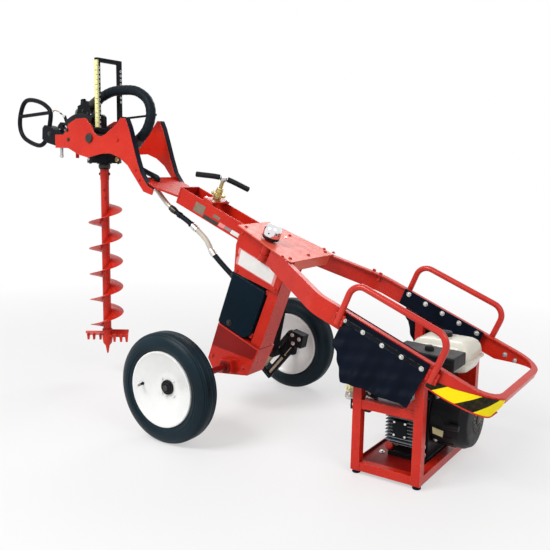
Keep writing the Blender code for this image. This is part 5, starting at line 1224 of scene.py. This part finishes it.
def air_and_exhaust():
    dress("air_cleaner", PLASTIC, 0.0075, 4)
    plate("cleaner_lid_line", mm(-952, 388, -950, 391, -744, 397, -744, 393), 0.0362, 0.1512, PLASTIC, 0.0008)
    turned("cleaner_knob", mm(0, 0, 16, 0, 16.5, 3, 15, 12, 10, 15.5, 0, 16), (-0.04, 0, 1),
           D(-0.85, 0.094, 0.413), 8, PLASTIC, 0.0012)
    boxed("carburettor", (-0.838, -0.772), (0.104, 0.146), (0.2445, 0.3), ALUMINIUM, 0.003)
    turned("carburettor_bowl", mm(0, 0, 17, 1, 19, 5, 19, 22, 0, 22), UP, D(-0.812, 0.15, 0.25), 28,
           ALUMINIUM)
    link = smooth(route(-772, 150, 288, -757, 142, 294, -752, 124, 288, -752, 104, 276), 0.004)
    piped("governor_link", link, 0.0018, 8, ZINC)
    dress("muffler", BLACK, 0.003)
    for number in range(7):
        x = -0.85 + number * 0.015
        boxed(f"muffler_louvre_{number}", (x, x + 0.008), (-0.195, -0.1922), (0.18, 0.268), DARK_STEEL, 0.001)


def hydraulics():
    dress("hydraulic_pump", BLACK, 0.0025)
    bolts("pump_bolt", [D(-0.5648, y, z) for y in (-0.028, 0.074) for z in (0.158, 0.222)], AHEAD, 0.0062,
          ZINC)
    bolts("pump_side_bolt", [D(x, 0.0862, 0.168) for x in (-0.624, -0.602, -0.58)], ACROSS, 0.006, ZINC)
    dress("pump_fittings", BRASS, 0.001)
    union = ((0, 0), (1, 0), (1, 0.55), (1.25, 0.58), (1.25, 0.86), (0.8, 0.9), (0.8, 1), (0, 1))
    for number, (start, end, size, look) in enumerate((
            (D(-0.598, 0.085, 0.196), D(-0.566, 0.122, 0.216), 0.011, ZINC),
            (D(-0.604, 0.085, 0.226), D(-0.572, 0.14, 0.243), 0.0095, BLANK_YELLOW),
            (D(-0.572, 0.06, 0.182), D(-0.546, 0.088, 0.196), 0.01, ZINC))):
        long = (end - start).length
        turned(f"pump_union_{number}", [(size * a, long * b) for a, b in union], end - start, start, 8, look,
               0.0008)
    dress("valve_block", ALUMINIUM, 0.0016)
    for number, place in enumerate(route(-618, 58, 274, -584, 58, 288, -602, -10, 266)):
        turned(f"pump_nut_{number}", mm(0, -14, 13.5, -14, 13.5, -2, 10, 0, 0, 0), UP, place, 6,
               ZINC if number == 1 else BRASS, 0.0008)
    for number, (x, z) in enumerate(mm(-840, 284, -806, 280, -762, 278)):
        turned(f"valve_port_{number}", mm(0, 0, 10.5, 0, 10.5, 7, 8, 8, 8, 15, 10, 16, 10, 22, 0, 22),
               (0, 0.3, 1), D(x, 0.2215, z), 6, ZINC, 0.0006)
    for number, run in enumerate((
            (-618, 58, 270, -618, 60, 330, -636, 94, 366, -694, 160, 378, -748, 208, 346, -764, 226, 306,
             -764, 226, 284),
            (-584, 58, 286, -582, 64, 346, -604, 104, 388, -682, 172, 402, -764, 216, 372, -802, 228, 318,
             -806, 227, 286))):
        piped(f"valve_hose_{number}", smooth(route(*run), 0.005), 0.008, 20, HOSE, angle=80)
    for number, (place, way) in enumerate(((D(-0.7, 0.196, 0.262), (0.4, 0.6, 0.6)),
                                           (D(-0.716, 0.214, 0.248), (1, 0.2, 0.1)),
                                           (D(-0.858, 0.212, 0.262), (-1, 0, 0.1)))):
        turned(f"valve_fitting_{number}", mm(0, 0, 9.2, 0, 9.2, 8, 6.2, 10, 6.2, 20, 8.5, 21, 8.5, 26, 0, 26),
               way, place, 6, ZINC, 0.0006)
    turned("lever_knob", mm(0, 0, 7.5, 0, 9.5, 4, 10, 16, 7.8, 24, 0, 26), (0, -0.614, 0.789),
           D(-0.712, 0.1772, 0.3043), 20, PLASTIC, body="valve_arm")


# ---------------------------------------------------------------- floor, light
def seen_rays(tree):
    """1 for rays that the eye follows, straight, mirrored or through glass, and 0 for those that light."""
    rays = node(tree, "LightPath")
    seen = math_node(tree, "MAXIMUM", rays.outputs["Is Camera Ray"], rays.outputs["Is Glossy Ray"])
    return math_node(tree, "MAXIMUM", seen, rays.outputs["Is Transmission Ray"])


def stage_floor():
    shape = bmesh.new()
    bmesh.ops.create_circle(shape, cap_ends=True, radius=40, segments=96)
    data = bpy.data.meshes.new("floor")
    shape.to_mesh(data)
    shape.free()
    floor = bpy.data.objects.new("floor", data)
    bpy.context.scene.collection.objects.link(floor)
    floor.location.z = -0.0005
    made, tree, shader = new_material("pale_floor")
    shader.inputs["Base Color"].default_value = (0.86, 0.86, 0.86, 1)
    shader.inputs["Roughness"].default_value = 0.7
    length = node(tree, "VectorMath")
    length.operation = "LENGTH"
    tree.links.new(node(tree, "TexCoord").outputs["Object"], length.inputs[0])
    fade = spread(tree, length.outputs["Value"], 0.5, 1.0, 0.9, 3.2)
    blend = node(tree, "MixShader")
    tree.links.new(math_node(tree, "MULTIPLY", seen_rays(tree), fade), blend.inputs["Fac"])
    tree.links.new(shader.outputs["BSDF"], blend.inputs[1])
    tree.links.new(node(tree, "Emission", Strength=1.0).outputs["Emission"], blend.inputs[2])
    tree.links.new(blend.outputs["Shader"], tree.nodes["Material Output"].inputs["Surface"])
    data.materials.append(made)


def light(name, place, target, size, watts):
    data = bpy.data.lights.new(name, "AREA")
    data.shape = "RECTANGLE"
    data.size, data.size_y = size
    data.energy = watts
    made = bpy.data.objects.new(name, data)
    bpy.context.scene.collection.objects.link(made)
    made.location = place
    made.rotation_euler = (Vector(target) - Vector(place)).to_track_quat("-Z", "Y").to_euler()


def world():
    made = bpy.data.worlds.new("studio")
    bpy.context.scene.world = made
    made.use_nodes = True
    tree = made.node_tree
    back = tree.nodes["Background"]
    back.inputs["Color"].default_value = (1, 1, 1, 1)
    tree.links.new(spread(tree, seen_rays(tree), 0.34, 1.0, 0.0, 1.0), back.inputs["Strength"])


for side, name in HANDS:
    wheel(side, name)
for build in (auger, plain_nodes, guide_handle, head_details, drive_details, bow_details, hose_loop,
              boom_details, clamp_details, filler_details, mast_details, strut_details, hand_loops,
              guard_pads, hazard_plate, rail_details, stand_details, cylinder, engine_block,
              recoil_starter, fuel_tank, air_and_exhaust, hydraulics, stage_floor, world):
    build()
light("key", (0.6, 3.0, 3.4), (0, 0, 0.5), (1.8, 1.6), 120)
light("fill", (-3.0, 1.2, 2.2), (0, 0, 0.6), (1.6, 1.4), 26)
light("rim", (0.6, -2.8, 2.8), (0, 0, 0.6), (2.0, 1.2), 34)
bpy.context.scene.view_settings.view_transform = "Standard"
